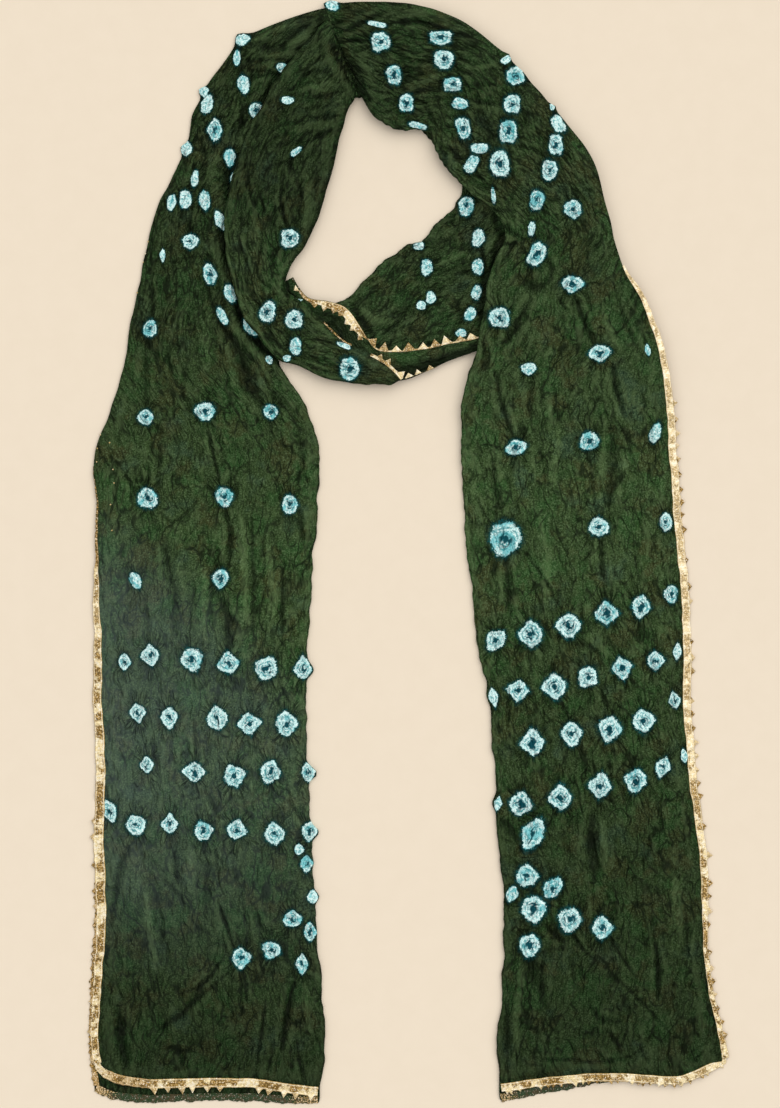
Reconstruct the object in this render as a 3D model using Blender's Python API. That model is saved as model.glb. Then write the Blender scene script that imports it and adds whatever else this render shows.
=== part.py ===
"""A bandhani dupatta stole of crinkled silk, folded in half along its length and laid flat.

The stole makes one turn round an open neck hole, and its two tails lie side by side below it.
Each stretch is a wall of cloth: a front ply and a back ply that meet in a fold along one side.
A narrow gota tape with a toothed edge lies along the open edges and the hems.

Every table is in millimetres on the laying board: x to the right, y away from the hems.
"""

import math
from collections import namedtuple

import bmesh
import bpy
import numpy as np

MM = 0.001

# Driving sizes, in millimetres.
WALL = 1.2  # thickness of the crinkled cloth
PLY_GAP = 1.6  # air between the two plies
SEAM = 0.3  # gap where one piece touches another
LEVEL = 6.4  # height at which a stretch lies on the one beneath it
CHIN_BASE = 4.9  # height of the single ply at the chin
TAIL_LOFT = 1.4  # how much higher a tail's front ply stands in its middle
BAND_LOFT = 0.6  # the same on the bands round the neck
CELL = 16.0  # length of one cell of cloth, along a stretch
CHIN_CELL = 8.0  # the same on the narrow ply at the chin
TAPE_INSET = 3.8  # how far the gota tape reaches in over the cloth
TAPE_REACH = 2.4  # how far its band reaches past the cloth's edge
TOOTH = 3.4  # height of the tape's teeth
TOOTH_PITCH = 10.0
TAPE_WALL = 1.0
EDGE_CALM = 14.0  # a fold dies out this near an edge
HEM_REACH = 45.0  # how far up a tail the curve of its hem is felt

GREEN = (0.026, 0.048, 0.020)
GREEN_UNDER = (0.019, 0.034, 0.015)
GOLD = (0.74, 0.50, 0.18)

# A row is one section across a stretch: its open edge, its folded edge, the share of LEVEL that it
# is raised by, and how far the back ply's open edge stands out past the front ply's.
Row = namedtuple("Row", "open_x open_y fold_x fold_y level peek")
# A fold runs from one point to another; a negative height is a furrow.
Fold = namedtuple("Fold", "x0 y0 x1 y1 width height")
Stretch = namedtuple("Stretch", "name rows folds loft across hem hem_peek color")

LEFT_TAIL_ROWS = (
    # open_x, open_y, fold_x, fold_y, level, peek
    Row(-232, -392, -66, -403, 0, 3),
    Row(-235, -364, -63, -368, 0, 3),
    Row(-233, -322, -65, -330, 0, 4),
    Row(-230, -278, -69, -281, 0, 4),
    Row(-231, -236, -72, -236, 0, 2),
    Row(-231, -191, -74, -195, 0, 0),
    Row(-230, -150, -76, -161, 0, 0),
    Row(-232, -109, -77, -115, 0, 0),
    Row(-232, -64, -76, -68, 0, 0),
    Row(-234, -15, -72, -11, 0, 0),
    Row(-233, 34, -68, 41, 0, 0),
    Row(-235, 75, -68, 79, 0, 0),
    Row(-223, 109, -77, 110, 0, 0),
    Row(-214, 137, -93, 135, 0, 0),
    Row(-208, 172, -99, 161, 0, 0),
)
LEFT_RISE_ROWS = (
    Row(-208, 173, -99, 162, 0, 0),
    Row(-202, 200, -95, 187, 0, 0),
    Row(-196, 231, -93, 212, 0, 0),
    Row(-188, 260, -90, 232, 0, 0),
    Row(-177, 283, -82, 253, 0, 0),
    Row(-166, 306, -73, 274, 0, 0),
    Row(-162, 328, -66, 292, 0, 0),
    Row(-153, 347, -61, 307, 0, 0),
    Row(-141, 366, -56, 320, 0, 0),
    Row(-124, 386, -52, 330, 0, 0),
    Row(-96, 399, -46, 336, 0, 0),
    Row(-66, 409, -40, 339, 0, 0),
    Row(-47, 411, -33, 337, 0, 0),
)
UNDER_LOOP_ROWS = (
    Row(-46, 409, -32, 335, 0, 0),
    Row(-10, 409, -13, 325, 0, 0),
    Row(24, 403, 3, 322, 0, 0),
    Row(58, 383, 15, 314, 0, 0),
    Row(91, 349, 24, 300, 0, 0),
    Row(123, 311, 34, 286, 0, 0),
    Row(138, 274, 41, 276, 0, 0),
    Row(144, 236, 33, 259, 0, 0),
    Row(136, 202, 22, 250, 0, 0),
    Row(110, 176, 12, 237, 0, 0),
    Row(73, 160, -3, 231, 0, 0),
    Row(35, 152, -19, 218, 0, 0),
    Row(5, 149, -33, 204, 0, 0),
    Row(-17, 149, -46, 191, 0, 0),
    Row(-34, 154, -55, 187, 0, 0),
)
LEFT_BAND_ROWS = (
    Row(-4, 132, -11, 128, 1, 0),
    Row(-16, 143, -25, 128, 1, 0),
    Row(-30, 151, -44, 130, 1, 0),
    Row(-42, 157, -64, 134, 1, 0),
    Row(-54, 165, -82, 142, 1, 0),
    Row(-66, 177, -98, 147, 1, 0),
    Row(-76, 188, -112, 164, 1, 0),
    Row(-90, 197, -124, 182, 1, 0),
    Row(-89, 214, -132, 205, 1, 0),
    Row(-79, 228, -136, 236, 1, 0),
    Row(-69, 247, -135, 262, 1, 0),
    Row(-61, 272, -129, 290, 1, 0),
    Row(-56, 290, -121, 313, 1, 0),
    Row(-52, 308, -109, 335, 1, 0),
    Row(-47, 327, -96, 358, 1, 0),
    Row(-43, 337, -80, 377, 1, 0),
    Row(-37.5, 344, -60, 400, 1, 0),
)
TOP_BAND_ROWS = (
    Row(-63, 412, -35, 343, 1, 0),
    Row(-28, 414, -25, 328, 1, 0),
    Row(4, 412, -11, 320, 1, 0),
    Row(33, 403, 2, 318, 1, 0),
    Row(61, 385, 14, 317, 1, 0),
    Row(87, 359, 22, 303, 1, 0),
    Row(114, 328, 31, 287, 1, 0),
    Row(136, 300, 41, 276, 1, 0),
    Row(148, 262, 64, 257, 1, 0),
)
RIGHT_TAIL_ROWS = (
    Row(236, -380, 70, -400, 0, 0),
    Row(235, -367, 67, -367, 0, 0),
    Row(229, -341, 70, -341, 0, 0),
    Row(223, -307, 72, -307, 0, 0),
    Row(221, -270, 73, -270, 0, 0),
    Row(218, -217, 69, -221, 0, 0),
    Row(211, -165, 65, -165, 0, 0),
    Row(207, -112, 61, -112, 0, 0),
    Row(207, -64, 53, -64, 0, 0),
    Row(204, -15, 47, -15, 0, 0),
    Row(199, 34, 42, 37, 0, 0),
    Row(196, 79, 41, 82, 0.27, 0),
    Row(193, 120, 42, 122, 0.77, 0),
    Row(186, 159, 52, 156, 1, 0),
    Row(174, 191, 58, 190, 1, 0),
    Row(160, 217, 64, 217, 1, 0),
    Row(154, 239, 73, 238, 1, 0),
    Row(148, 261.4, 64, 256.4, 1, 0),
)
# The back ply that shows past the front one at the chin, over the under loop.
CHIN_ROWS = (
    # open_x, open_y, lower_x, lower_y, level, peek
    Row(61, 166, 61, 157, 1, 0),
    Row(52, 163, 52, 153, 1, 0),
    Row(31, 159, 30, 145, 1, 0),
    Row(13, 155, 13, 137, 1, 0),
    Row(-6, 153, -3, 131, 1, 0),
    Row(-22, 154, -17, 131, 1, 0),
    Row(-30, 162, -32, 139, 1, 0),
    Row(-37, 173, -47, 146, 1, 0),
    Row(-46, 185, -60, 157, 1, 0),
    Row(-60, 190, -72, 172, 1, 0),
    Row(-75, 193, -84, 181, 1, 0),
    Row(-82, 201, -92, 190, 1, 0),
    Row(-85, 212, -96, 206, 1, 0),
)

LEFT_TAIL_FOLDS = (
    # x0, y0, x1, y1, width, height
    Fold(-136, 49, -134, -67, 5, -2.0),
    Fold(-180, 86, -178, -49, 6, -1.6),
    Fold(-166, 94, -168, -41, 8, 2.0),
    Fold(-128, 154, -110, 109, 7, -2.2),
    Fold(-81, 94, -82, -4, 6, -1.6),
    Fold(-109, 86, -110, -64, 9, 1.6),
    Fold(-152, -79, -164, -199, 7, -1.5),
    Fold(-115, -101, -110, -221, 8, 1.8),
    Fold(-141, -259, -129, -304, 5, -1.8),
    Fold(-215, -304, -213, -379, 6, -1.6),
    Fold(-93, -322, -93, -390, 6, -2.0),
    Fold(-140, -304, -178, -341, 7, 1.8),
    Fold(-186, -229, -201, -304, 10, 1.8),
    Fold(-205, -64, -194, -154, 9, 1.5),
)
RIGHT_TAIL_FOLDS = (
    Fold(70, 139, 71, -41, 5, -1.6),
    Fold(151, 109, 149, -4, 7, -2.0),
    Fold(121, 116, 125, -26, 10, 1.8),
    Fold(129, 199, 145, 157, 6, -1.5),
    Fold(178, 131, 185, -4, 7, 1.5),
    Fold(91, -64, 90, -154, 9, 1.6),
    Fold(138, -195, 135, -255, 7, -2.4),
    Fold(170, -184, 168, -281, 12, 2.0),
    Fold(187, -281, 187, -341, 6, -1.8),
    Fold(155, -292, 193, -356, 5, -1.5),
    Fold(101, -292, 99, -367, 6, -1.8),
    Fold(127, -281, 129, -341, 6, 1.6),
    Fold(144, -101, 148, -169, 8, 1.5),
)
LEFT_RISE_FOLDS = (
    Fold(-182, 236, -163, 296, 8, 1.2),
    Fold(-156, 236, -152, 319, 5, -1.0),
    Fold(-130, 341, -100, 379, 7, 1.2),
)
UNDER_LOOP_FOLDS = (
    Fold(-6, 199, 24, 236, 7, 1.2),
    Fold(46, 236, 31, 176, 5, -1.0),
    Fold(-28, 176, 2, 199, 6, 1.0),
)
LEFT_BAND_FOLDS = (
    Fold(-90, 281, -88, 236, 5, -1.3),
    Fold(-115, 296, -118, 221, 7, 1.8),
    Fold(-73, 304, -81, 251, 6, 1.5),
    Fold(-109, 199, -81, 154, 5, 1.5),
    Fold(-81, 341, -58, 371, 7, 1.8),
)
TOP_BAND_FOLDS = (
    Fold(-32, 394, 24, 380, 6, 1.8),
    Fold(31, 375, 76, 334, 6, 1.8),
    Fold(-32, 364, 16, 341, 5, -1.3),
    Fold(24, 334, 58, 274, 5, -1.3),
    Fold(84, 319, 114, 274, 8, 1.6),
    Fold(-47, 371, -36, 347, 5, -1.3),
)

# How far a hem hangs below the straight line between its corners: share across, drop.
LEFT_HEM = ((0, 0), (0.23, 2.5), (0.5, -1.5), (0.7, -3.5), (0.87, -1), (1, 0))
RIGHT_HEM = ((0, 0), (0.1, 6), (0.2, 11), (0.35, 6), (0.6, 0), (0.8, -1), (1, 0))
# How far the back ply shows below the front hem: share across, reach.
LEFT_HEM_PEEK = ((0, 8), (1, 8))
RIGHT_HEM_PEEK = ((0, 0), (0.45, 0), (0.7, 6), (1, 9))
PLAIN = ((0, 0), (1, 0))

LEFT_TAIL = Stretch(
    "left_tail", LEFT_TAIL_ROWS, LEFT_TAIL_FOLDS, TAIL_LOFT, 13, LEFT_HEM, LEFT_HEM_PEEK, GREEN
)
RIGHT_TAIL = Stretch(
    "right_tail", RIGHT_TAIL_ROWS, RIGHT_TAIL_FOLDS, TAIL_LOFT, 13, RIGHT_HEM, RIGHT_HEM_PEEK, GREEN
)
STRETCHES = (
    LEFT_TAIL,
    Stretch("left_rise", LEFT_RISE_ROWS, LEFT_RISE_FOLDS, 0, 8, PLAIN, PLAIN, GREEN),
    Stretch("under_loop", UNDER_LOOP_ROWS, UNDER_LOOP_FOLDS, 0, 8, PLAIN, PLAIN, GREEN_UNDER),
    Stretch("left_band", LEFT_BAND_ROWS, LEFT_BAND_FOLDS, BAND_LOFT, 6, PLAIN, PLAIN, GREEN),
    Stretch("top_band", TOP_BAND_ROWS, TOP_BAND_FOLDS, BAND_LOFT, 8, PLAIN, PLAIN, GREEN),
    RIGHT_TAIL,
)


def clear_scene():
    for thing in list(bpy.data.objects):
        bpy.data.objects.remove(thing)


def material(name, color, metallic, roughness):
    """A plain Principled material."""
    made = bpy.data.materials.new(name)
    made.use_nodes = True
    shader = made.node_tree.nodes["Principled BSDF"]
    shader.inputs["Base Color"].default_value = (*color, 1)
    shader.inputs["Metallic"].default_value = metallic
    shader.inputs["Roughness"].default_value = roughness
    return made


def wall_object(name, upper, lower, look):
    """A closed wall between two grids of points that have the same rows and columns."""
    rows, columns = len(upper), len(upper[0])
    mesh = bmesh.new()
    top = [[mesh.verts.new(point * MM) for point in row] for row in upper]
    under = [[mesh.verts.new(point * MM) for point in row] for row in lower]
    for i in range(rows - 1):
        for j in range(columns - 1):
            mesh.faces.new((top[i][j], top[i + 1][j], top[i + 1][j + 1], top[i][j + 1]))
            mesh.faces.new((under[i][j], under[i][j + 1], under[i + 1][j + 1], under[i + 1][j]))
    for j in (0, columns - 1):
        for i in range(rows - 1):
            mesh.faces.new((top[i][j], top[i + 1][j], under[i + 1][j], under[i][j]))
    for i in (0, rows - 1):
        for j in range(columns - 1):
            mesh.faces.new((top[i][j], top[i][j + 1], under[i][j + 1], under[i][j]))
    bmesh.ops.recalc_face_normals(mesh, faces=mesh.faces)
    data = bpy.data.meshes.new(name)
    mesh.to_mesh(data)
    mesh.free()
    data.materials.append(look)
    made = bpy.data.objects.new(name, data)
    bpy.context.scene.collection.objects.link(made)
    return made


def smooth_rows(rows, pitch):
    """Rows about a pitch apart, on a smooth curve through the given ones."""
    table = np.array(rows, float)
    middle = (table[:, 0:2] + table[:, 2:4]) / 2
    steps = np.linalg.norm(np.diff(middle, axis=0), axis=1)
    along = np.concatenate(([0.0], np.cumsum(steps)))
    slopes = np.gradient(table, along, axis=0)
    count = max(2, round(along[-1] / pitch))
    smooth = []
    for place in np.linspace(0, along[-1], count + 1):
        i = min(int(np.searchsorted(along, place, side="right")) - 1, len(steps) - 1)
        t = (place - along[i]) / steps[i]
        start = (1 + 2 * t) * (1 - t) ** 2 * table[i] + t * t * (3 - 2 * t) * table[i + 1]
        turn = t * (1 - t) ** 2 * slopes[i] - t * t * (1 - t) * slopes[i + 1]
        row = Row(*(start + turn * steps[i]))
        smooth.append(row._replace(level=max(row.level, 0.0), peek=max(row.peek, 0.0)))
    return smooth, np.linspace(0, along[-1], count + 1)


def relief(folds, x, y):
    """The height that the folds add at a point, soft across and fading at their ends."""
    total = 0.0
    for fold in folds:
        dx, dy = fold.x1 - fold.x0, fold.y1 - fold.y0
        length = math.hypot(dx, dy)
        along = ((x - fold.x0) * dx + (y - fold.y0) * dy) / length
        beyond = max(0.0, -along, along - length)
        across = ((x - fold.x0) * dy - (y - fold.y0) * dx) / length
        total += fold.height * math.exp(-((across / fold.width) ** 2) - (beyond / fold.width / 2) ** 2)
    return total


def share_of(table, share):
    return float(np.interp(share, [row[0] for row in table], [row[1] for row in table]))


def calm(distance):
    """0 at an edge, rising smoothly to 1 where the folds have their full height."""
    t = min(1.0, max(0.0, distance / EDGE_CALM))
    return t * t * (3 - 2 * t)


def section(stretch, row, to_hem, to_end):
    """The outer and inner points of a section, from the front's open edge round the fold."""
    start, end = np.array((row.open_x, row.open_y)), np.array((row.fold_x, row.fold_y))
    width = float(np.linalg.norm(end - start))
    side = (end - start) / width
    radius = (WALL + PLY_GAP) / 2
    flat = width - radius
    near_hem = max(0.0, 1 - to_hem / HEM_REACH) ** 2
    outer, inner = [], []

    def put(across, height, lean, rise, back):
        """One pair of points, half a wall to each side of the wall's middle."""
        share = min(1.0, max(0.0, across / width))
        drop = share_of(stretch.hem, share) + back * share_of(stretch.hem_peek, share)
        for points, half in ((outer, WALL / 2), (inner, -WALL / 2)):
            x, y = start + side * (across + lean * half)
            z = row.level * LEVEL + height + rise * half
            points.append(np.array((x, y - drop * near_hem, z)))

    front = 1.5 * WALL + PLY_GAP
    for j in range(stretch.across + 1):
        across = flat * j / stretch.across
        x, y = start + side * across
        quiet = calm(across) * calm(flat - across) * calm(to_hem) * calm(to_end)
        puff = stretch.loft * math.sqrt(abs(math.sin(math.pi * j / stretch.across)))
        put(across, front + quiet * (puff + relief(stretch.folds, x, y)), 0, 1, 0)
    for angle in (math.pi / 4, 0, -math.pi / 4):
        lean, rise = math.cos(angle), math.sin(angle)
        turned = (1 - rise) / 2
        put(flat + radius * lean, WALL / 2 + radius + radius * rise, lean, rise, turned)
    for across in (flat, flat * 2 / 3, flat / 3, -row.peek):
        put(across, WALL / 2, 0, -1, 1)
    return outer, inner


def cloth(stretch):
    """Builds one stretch and returns its outer points, a list for each section."""
    rows, along = smooth_rows(stretch.rows, CELL)
    pairs = [
        section(stretch, row, place, along[-1] - place) for row, place in zip(rows, along)
    ]
    outer, inner = [pair[0] for pair in pairs], [pair[1] for pair in pairs]
    wall_object(stretch.name, outer, inner, material(stretch.name, stretch.color, 0.0, 0.55))
    return outer


def chin():
    """The single ply at the chin; returns its top points, open edge first."""
    rows, _ = smooth_rows(CHIN_ROWS, CHIN_CELL)
    top, under = [], []
    for row in rows:
        start, end = np.array((row.open_x, row.open_y)), np.array((row.fold_x, row.fold_y))
        line = [start + (end - start) * share for share in (0, 0.5, 1)]
        top.append([np.array((*point, CHIN_BASE + WALL)) for point in line])
        under.append([np.array((*point, CHIN_BASE)) for point in line])
    wall_object("chin_back_ply", top, under, material("chin_back_ply", GREEN_UNDER, 0.0, 0.55))
    return top


def stations(line, inward, span):
    """Points half a tooth apart along an edge, each with the direction into the cloth.

    The span's end counts back from the edge's far end where it isn't positive.
    """
    line, inward = np.array(line), np.array(inward)
    steps = np.linalg.norm(np.diff(line, axis=0), axis=1)
    along = np.concatenate(([0.0], np.cumsum(steps)))
    start, end = span
    if end <= 0:
        end += along[-1]
    count = 2 * max(1, round((end - start) / TOOTH_PITCH))
    found = []
    for place in np.linspace(start, end, count + 1):
        i = min(max(int(np.searchsorted(along, place, side="right")) - 1, 0), len(steps) - 1)
        t = (place - along[i]) / steps[i]
        point = line[i] + (line[i + 1] - line[i]) * t
        into = inward[i] + (inward[i + 1] - inward[i]) * min(1.0, max(0.0, t))
        found.append((point, into))
    return found


def tape(name, edge, span, inner=TAPE_INSET, band=-TAPE_REACH, teeth=-TOOTH):
    """A toothed gota tape that lies on a cloth edge; distances count into the cloth."""
    top, under = [], []
    for k, (point, into) in enumerate(stations(*edge, span)):
        reach = band + (teeth if k % 2 else 0)
        for points, lift in ((top, SEAM + TAPE_WALL), (under, SEAM)):
            up = np.array((0, 0, lift))
            points.append([point + into * inner + up, point + into * reach + up])
    wall_object(name, top, under, material(name, GOLD, 0.85, 0.35))


def edge_of(line, next_line):
    """An edge line with, at each point, a step of one millimetre towards the next line."""
    steps = []
    for here, there in zip(line, next_line):
        away = there - here
        steps.append(away / math.hypot(away[0], away[1]))
    return line, steps


def column_edge(outer, column, towards):
    """The edge that runs along a stretch, over one column of its points."""
    return edge_of([row[column] for row in outer], [row[towards] for row in outer])


def back_top(points):
    """The upper side of the back ply, over its outer points."""
    return [point + np.array((0, 0, WALL)) for point in points]


def front_hem(outer, stretch):
    """The hem of a tail's front ply, from its open corner to its fold."""
    count = stretch.across + 1
    return edge_of(outer[0][:count], outer[1][:count])


def back_hem(outer):
    """The hem of a tail's back ply, from its open corner to its fold."""
    return edge_of(back_top(outer[0][:-5:-1]), back_top(outer[1][:-5:-1]))


def tail_tapes(left, right):
    """The tapes along the tails' open sides and hems, and on what shows of the back plies."""
    corner = TAPE_INSET + SEAM
    slim = {"inner": 3.0, "band": -1.2, "teeth": -2.4}
    tape("left_side_tape", column_edge(left, 0, 1), (corner, -112.0), **slim)
    tape("left_hem_tape", front_hem(left, LEFT_TAIL), (-TAPE_REACH, 0.0))
    tape("left_back_hem_tape", back_hem(left), (-TAPE_REACH, -2.0), band=-1.0, teeth=-2.8)
    side_line, side_steps = column_edge(left, -1, -2)
    tape("left_back_side_tape", (back_top(side_line), side_steps), (corner, 190.0), band=-1.0, teeth=-2.8)
    tape("right_side_tape", column_edge(right, 0, 1), (2 * corner, -46.0))
    tape("right_hem_tape", front_hem(right, RIGHT_TAIL), (-TAPE_REACH, 0.0))
    tape("right_back_hem_tape", back_hem(right), (78.0, -2.0))


def neck_tapes(chin_top, band):
    """The tapes at the chin: on the back ply's edge, turned over on its left, and on the band's edge."""
    chin_edge, band_edge = column_edge(chin_top, 0, 2), column_edge(band, 0, 1)
    tape("neck_back_tape", chin_edge, (12.0, 96.0), inner=2.0, band=-0.4)
    tape("neck_turned_tape", chin_edge, (98.0, -11.0), inner=0.5, band=3.8, teeth=2.2)
    tape("neck_front_tape", band_edge, (2.0, 32.0), inner=1.5, band=-1.0, teeth=-3.0)
    tape("neck_front_tape_left", band_edge, (44.0, 76.0), inner=1.5, band=-0.6, teeth=-1.2)


def centre_on_floor():
    """Parents the pieces to an empty that puts the middle of their underside at the origin."""
    pieces = [thing for thing in bpy.data.objects if thing.type == "MESH"]
    corners = np.array([vert.co[:] for piece in pieces for vert in piece.data.vertices])
    low, high = corners.min(axis=0), corners.max(axis=0)
    stole = bpy.data.objects.new("stole", None)
    bpy.context.scene.collection.objects.link(stole)
    stole.location = (-(low[0] + high[0]) / 2, -(low[1] + high[1]) / 2, -low[2])
    for piece in pieces:
        piece.parent = stole


def build():
    clear_scene()
    outer = {stretch.name: cloth(stretch) for stretch in STRETCHES}
    tail_tapes(outer["left_tail"], outer["right_tail"])
    neck_tapes(chin(), outer["left_band"])
    centre_on_floor()


build()
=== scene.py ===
"""The looks of a bandhani dupatta stole of crinkled silk, folded along its length and laid flat.

Each stretch of cloth is a thin crinkled shell on the form of its solids, wrapped from the open edge
of its front ply round the fold to its back ply. The dots are tie-dyed: raised puckers in the cloth,
coloured by the silk's material from values held at each point. The gota tapes are ribbed metallic
bands with folded triangular teeth, and they follow the cloth's own edges.

Rows and folds are in millimetres on the laying board, as in the part's source. Dots, creases and
other small marks are placed in pixels of the picture, of 780 x 1108, by the scale below.
"""

import math
from collections import namedtuple

import bpy
import numpy as np
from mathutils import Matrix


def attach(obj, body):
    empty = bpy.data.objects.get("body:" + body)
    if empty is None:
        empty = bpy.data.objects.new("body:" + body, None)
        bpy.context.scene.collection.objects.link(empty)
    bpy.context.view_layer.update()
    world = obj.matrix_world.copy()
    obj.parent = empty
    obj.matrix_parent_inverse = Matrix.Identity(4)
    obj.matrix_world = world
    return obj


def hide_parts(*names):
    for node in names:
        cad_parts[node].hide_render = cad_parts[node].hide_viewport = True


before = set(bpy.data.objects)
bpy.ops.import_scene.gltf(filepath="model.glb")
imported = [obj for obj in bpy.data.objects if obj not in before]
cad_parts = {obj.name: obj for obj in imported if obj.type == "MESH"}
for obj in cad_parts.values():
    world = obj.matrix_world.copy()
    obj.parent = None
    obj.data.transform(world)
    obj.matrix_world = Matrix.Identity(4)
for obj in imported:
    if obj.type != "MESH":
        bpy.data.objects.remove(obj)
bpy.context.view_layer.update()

MM = 0.001
PX = 0.75  # millimetres of the board for one pixel
ORIGIN_PX = (408, 555)  # the pixel over the board's origin
SHIFT = np.array((0.677, -0.065))  # from the board's origin to the part's, in millimetres

# The cloth's form, in millimetres.
LEVEL = 6.4  # height at which a stretch lies on the one beneath it
FRONT_Z, BACK_Z = 3.6, 0.5  # heights of the two plies on their level
FOLD_OUT = 0.6  # how far the fold's outside stands past its row
FOLD_COLUMNS = 7
CELL_ALONG, CELL_ACROSS = 1.95, 1.08  # grid pitch of the front ply
BACK_CELL = 7.0
HEM_REACH = 45.0  # how far up from the hem its curve is felt
LAYER_TOP = 5.9  # where another stretch lies on this one, it stays below this
LAYER_SHARPNESS = 2.2  # how sharply it is kept below
FLOOR_GAP, TAPE_FLOOR_GAP = 0.08, 0.1  # the lowest that a point of the silk or the tape lies
COVERED_LOWEST = 1.4  # the lowest that a covered front ply lies
WAVY_EDGE, WAVY_FOLD = 10.0, 14.0  # how far in from the open edge and the fold their waves are felt
LET_IN = 26.0  # how much of the right stretch's end is let into the left one
CHIN_CELL, CHIN_COLUMNS, CHIN_SEED = 1.0, 22, 71
CHIN_Z, CHIN_LOWEST, CHIN_HIGHEST = 5.7, 4.8, 6.3

# Dots, in millimetres.
DOT_REACH = 28.0  # how far from its middle a dot is felt
MOST_BULGE = 6.0  # how far a dot at an edge may push it out
BULGE_ROW = 4.0  # how near a dot's row it is
FAR = 9.0  # how far out a point of no dot is, in dot sizes
DOT_SCALE = 0.90  # of a dot's listed size, which takes in its halo
SMALLEST_MARKED = 4.4  # half the width of the narrowest dot with rings in it

# Crinkles: pitch across, pitch along and height, below 0 for ridges. The last two grow with crush.
CRINKLES = ((19, 70, 0.9), (12, 42, -0.8), (7.5, 26, 0.8), (5, 15, -0.7), (3.4, 9, 0.5))
CRUSHED_CRINKLES = 2
CREASE_REACH = 20.0  # how far from its box a listed crease is felt

# Rows across each stretch, from its start: x and y of its open edge, then of its fold. Where they
# differ from the stretch's level and 0, the level and how far the back ply's edge peeks out follow.
LEFT_ROWS = (
    # the left tail, from its hem up
    (-232, -392, -66, -403, 0, 3), (-235, -364, -63, -368, 0, 3), (-233, -322, -65, -330, 0, 4),
    (-230, -278, -69, -281, 0, 4), (-231, -236, -72, -236, 0, 2), (-231, -191, -74, -195),
    (-230, -150, -76, -161), (-232, -109, -77, -115), (-232, -64, -76, -68), (-234, -15, -72, -11),
    (-233, 34, -68, 41), (-235, 75, -68, 79), (-223, 109, -77, 110), (-214, 137, -93, 135),
    # the left rise, up to the top of the turn
    (-208, 172.5, -99, 161.5), (-202, 200, -95, 187), (-196, 231, -93, 212), (-188, 260, -90, 232),
    (-177, 283, -82, 253), (-166, 306, -73, 274), (-162, 328, -66, 292), (-153, 347, -61, 307),
    (-141, 366, -56, 320), (-124, 386, -52, 330), (-96, 399, -46, 336), (-66, 409, -41, 342),
    (-47, 411, -35, 344),
)
UNDER_ROWS = (
    (-46, 409, -34, 344), (-10, 409, -13, 325), (24, 403, 3, 322), (58, 383, 15, 314),
    (91, 349, 24, 300), (123, 311, 34, 286), (138, 274, 41, 276), (144, 236, 33, 259),
    (136, 202, 22, 250), (110, 176, 12, 237), (73, 160, -3, 231), (35, 152, -19, 218),
    (5, 149, -33, 204), (-17, 149, -46, 191), (-34, 154, -55, 187),
)
BAND_ROWS = (
    (-4, 132, -11, 128), (-16, 143, -25, 128), (-30, 151, -44, 130), (-42, 157, -64, 134),
    (-54, 165, -82, 142), (-66, 177, -98, 147), (-76, 188, -112, 164), (-90, 197, -124, 182),
    (-89, 214, -132, 205), (-79, 228, -136, 236), (-69, 247, -135, 262), (-61, 272, -129, 290),
    (-56, 290, -121, 313), (-52, 308, -109, 335), (-47, 327, -96, 358), (-43, 337, -80, 377),
    (-37.5, 344, -60, 400),
)
RIGHT_ROWS = (
    # the right tail, from its hem up
    (236, -380, 70, -400, 0), (235, -367, 67, -367, 0), (229, -341, 70, -341, 0),
    (223, -307, 72, -307, 0), (221, -270, 73, -270, 0), (218, -217, 69, -221, 0),
    (211, -165, 65, -165, 0), (207, -112, 61, -112, 0), (207, -64, 53, -64, 0), (204, -15, 47, -15, 0),
    (199, 34, 42, 37, 0), (196, 79, 41, 82, 0.27), (193, 120, 42, 122, 0.77), (186, 159, 52, 156),
    (174, 191, 58, 190), (160, 217, 64, 217), (154, 239, 73, 238),
    # the top band, round to where it meets the left band
    (148, 261.7, 64, 256.7), (136, 300, 41, 276), (114, 328, 31, 287), (87, 359, 22, 303),
    (61, 385, 14, 317), (33, 403, 2, 318), (4, 412, -11, 320), (-28, 414, -25, 328),
    (-63, 412, -35, 343),
)
CHIN_ROWS = (
    # upper edge, lower edge
    (61, 166, 61, 157), (52, 163, 52, 153), (31, 159, 30, 145), (13, 155, 13, 137), (-6, 153, -3, 131),
    (-22, 154, -17, 131), (-30, 162, -32, 139), (-37, 173, -47, 146), (-46, 185, -60, 157),
    (-60, 190, -72, 172), (-75, 193, -84, 181), (-82, 201, -92, 190), (-86, 208, -96, 203),
)
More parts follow.
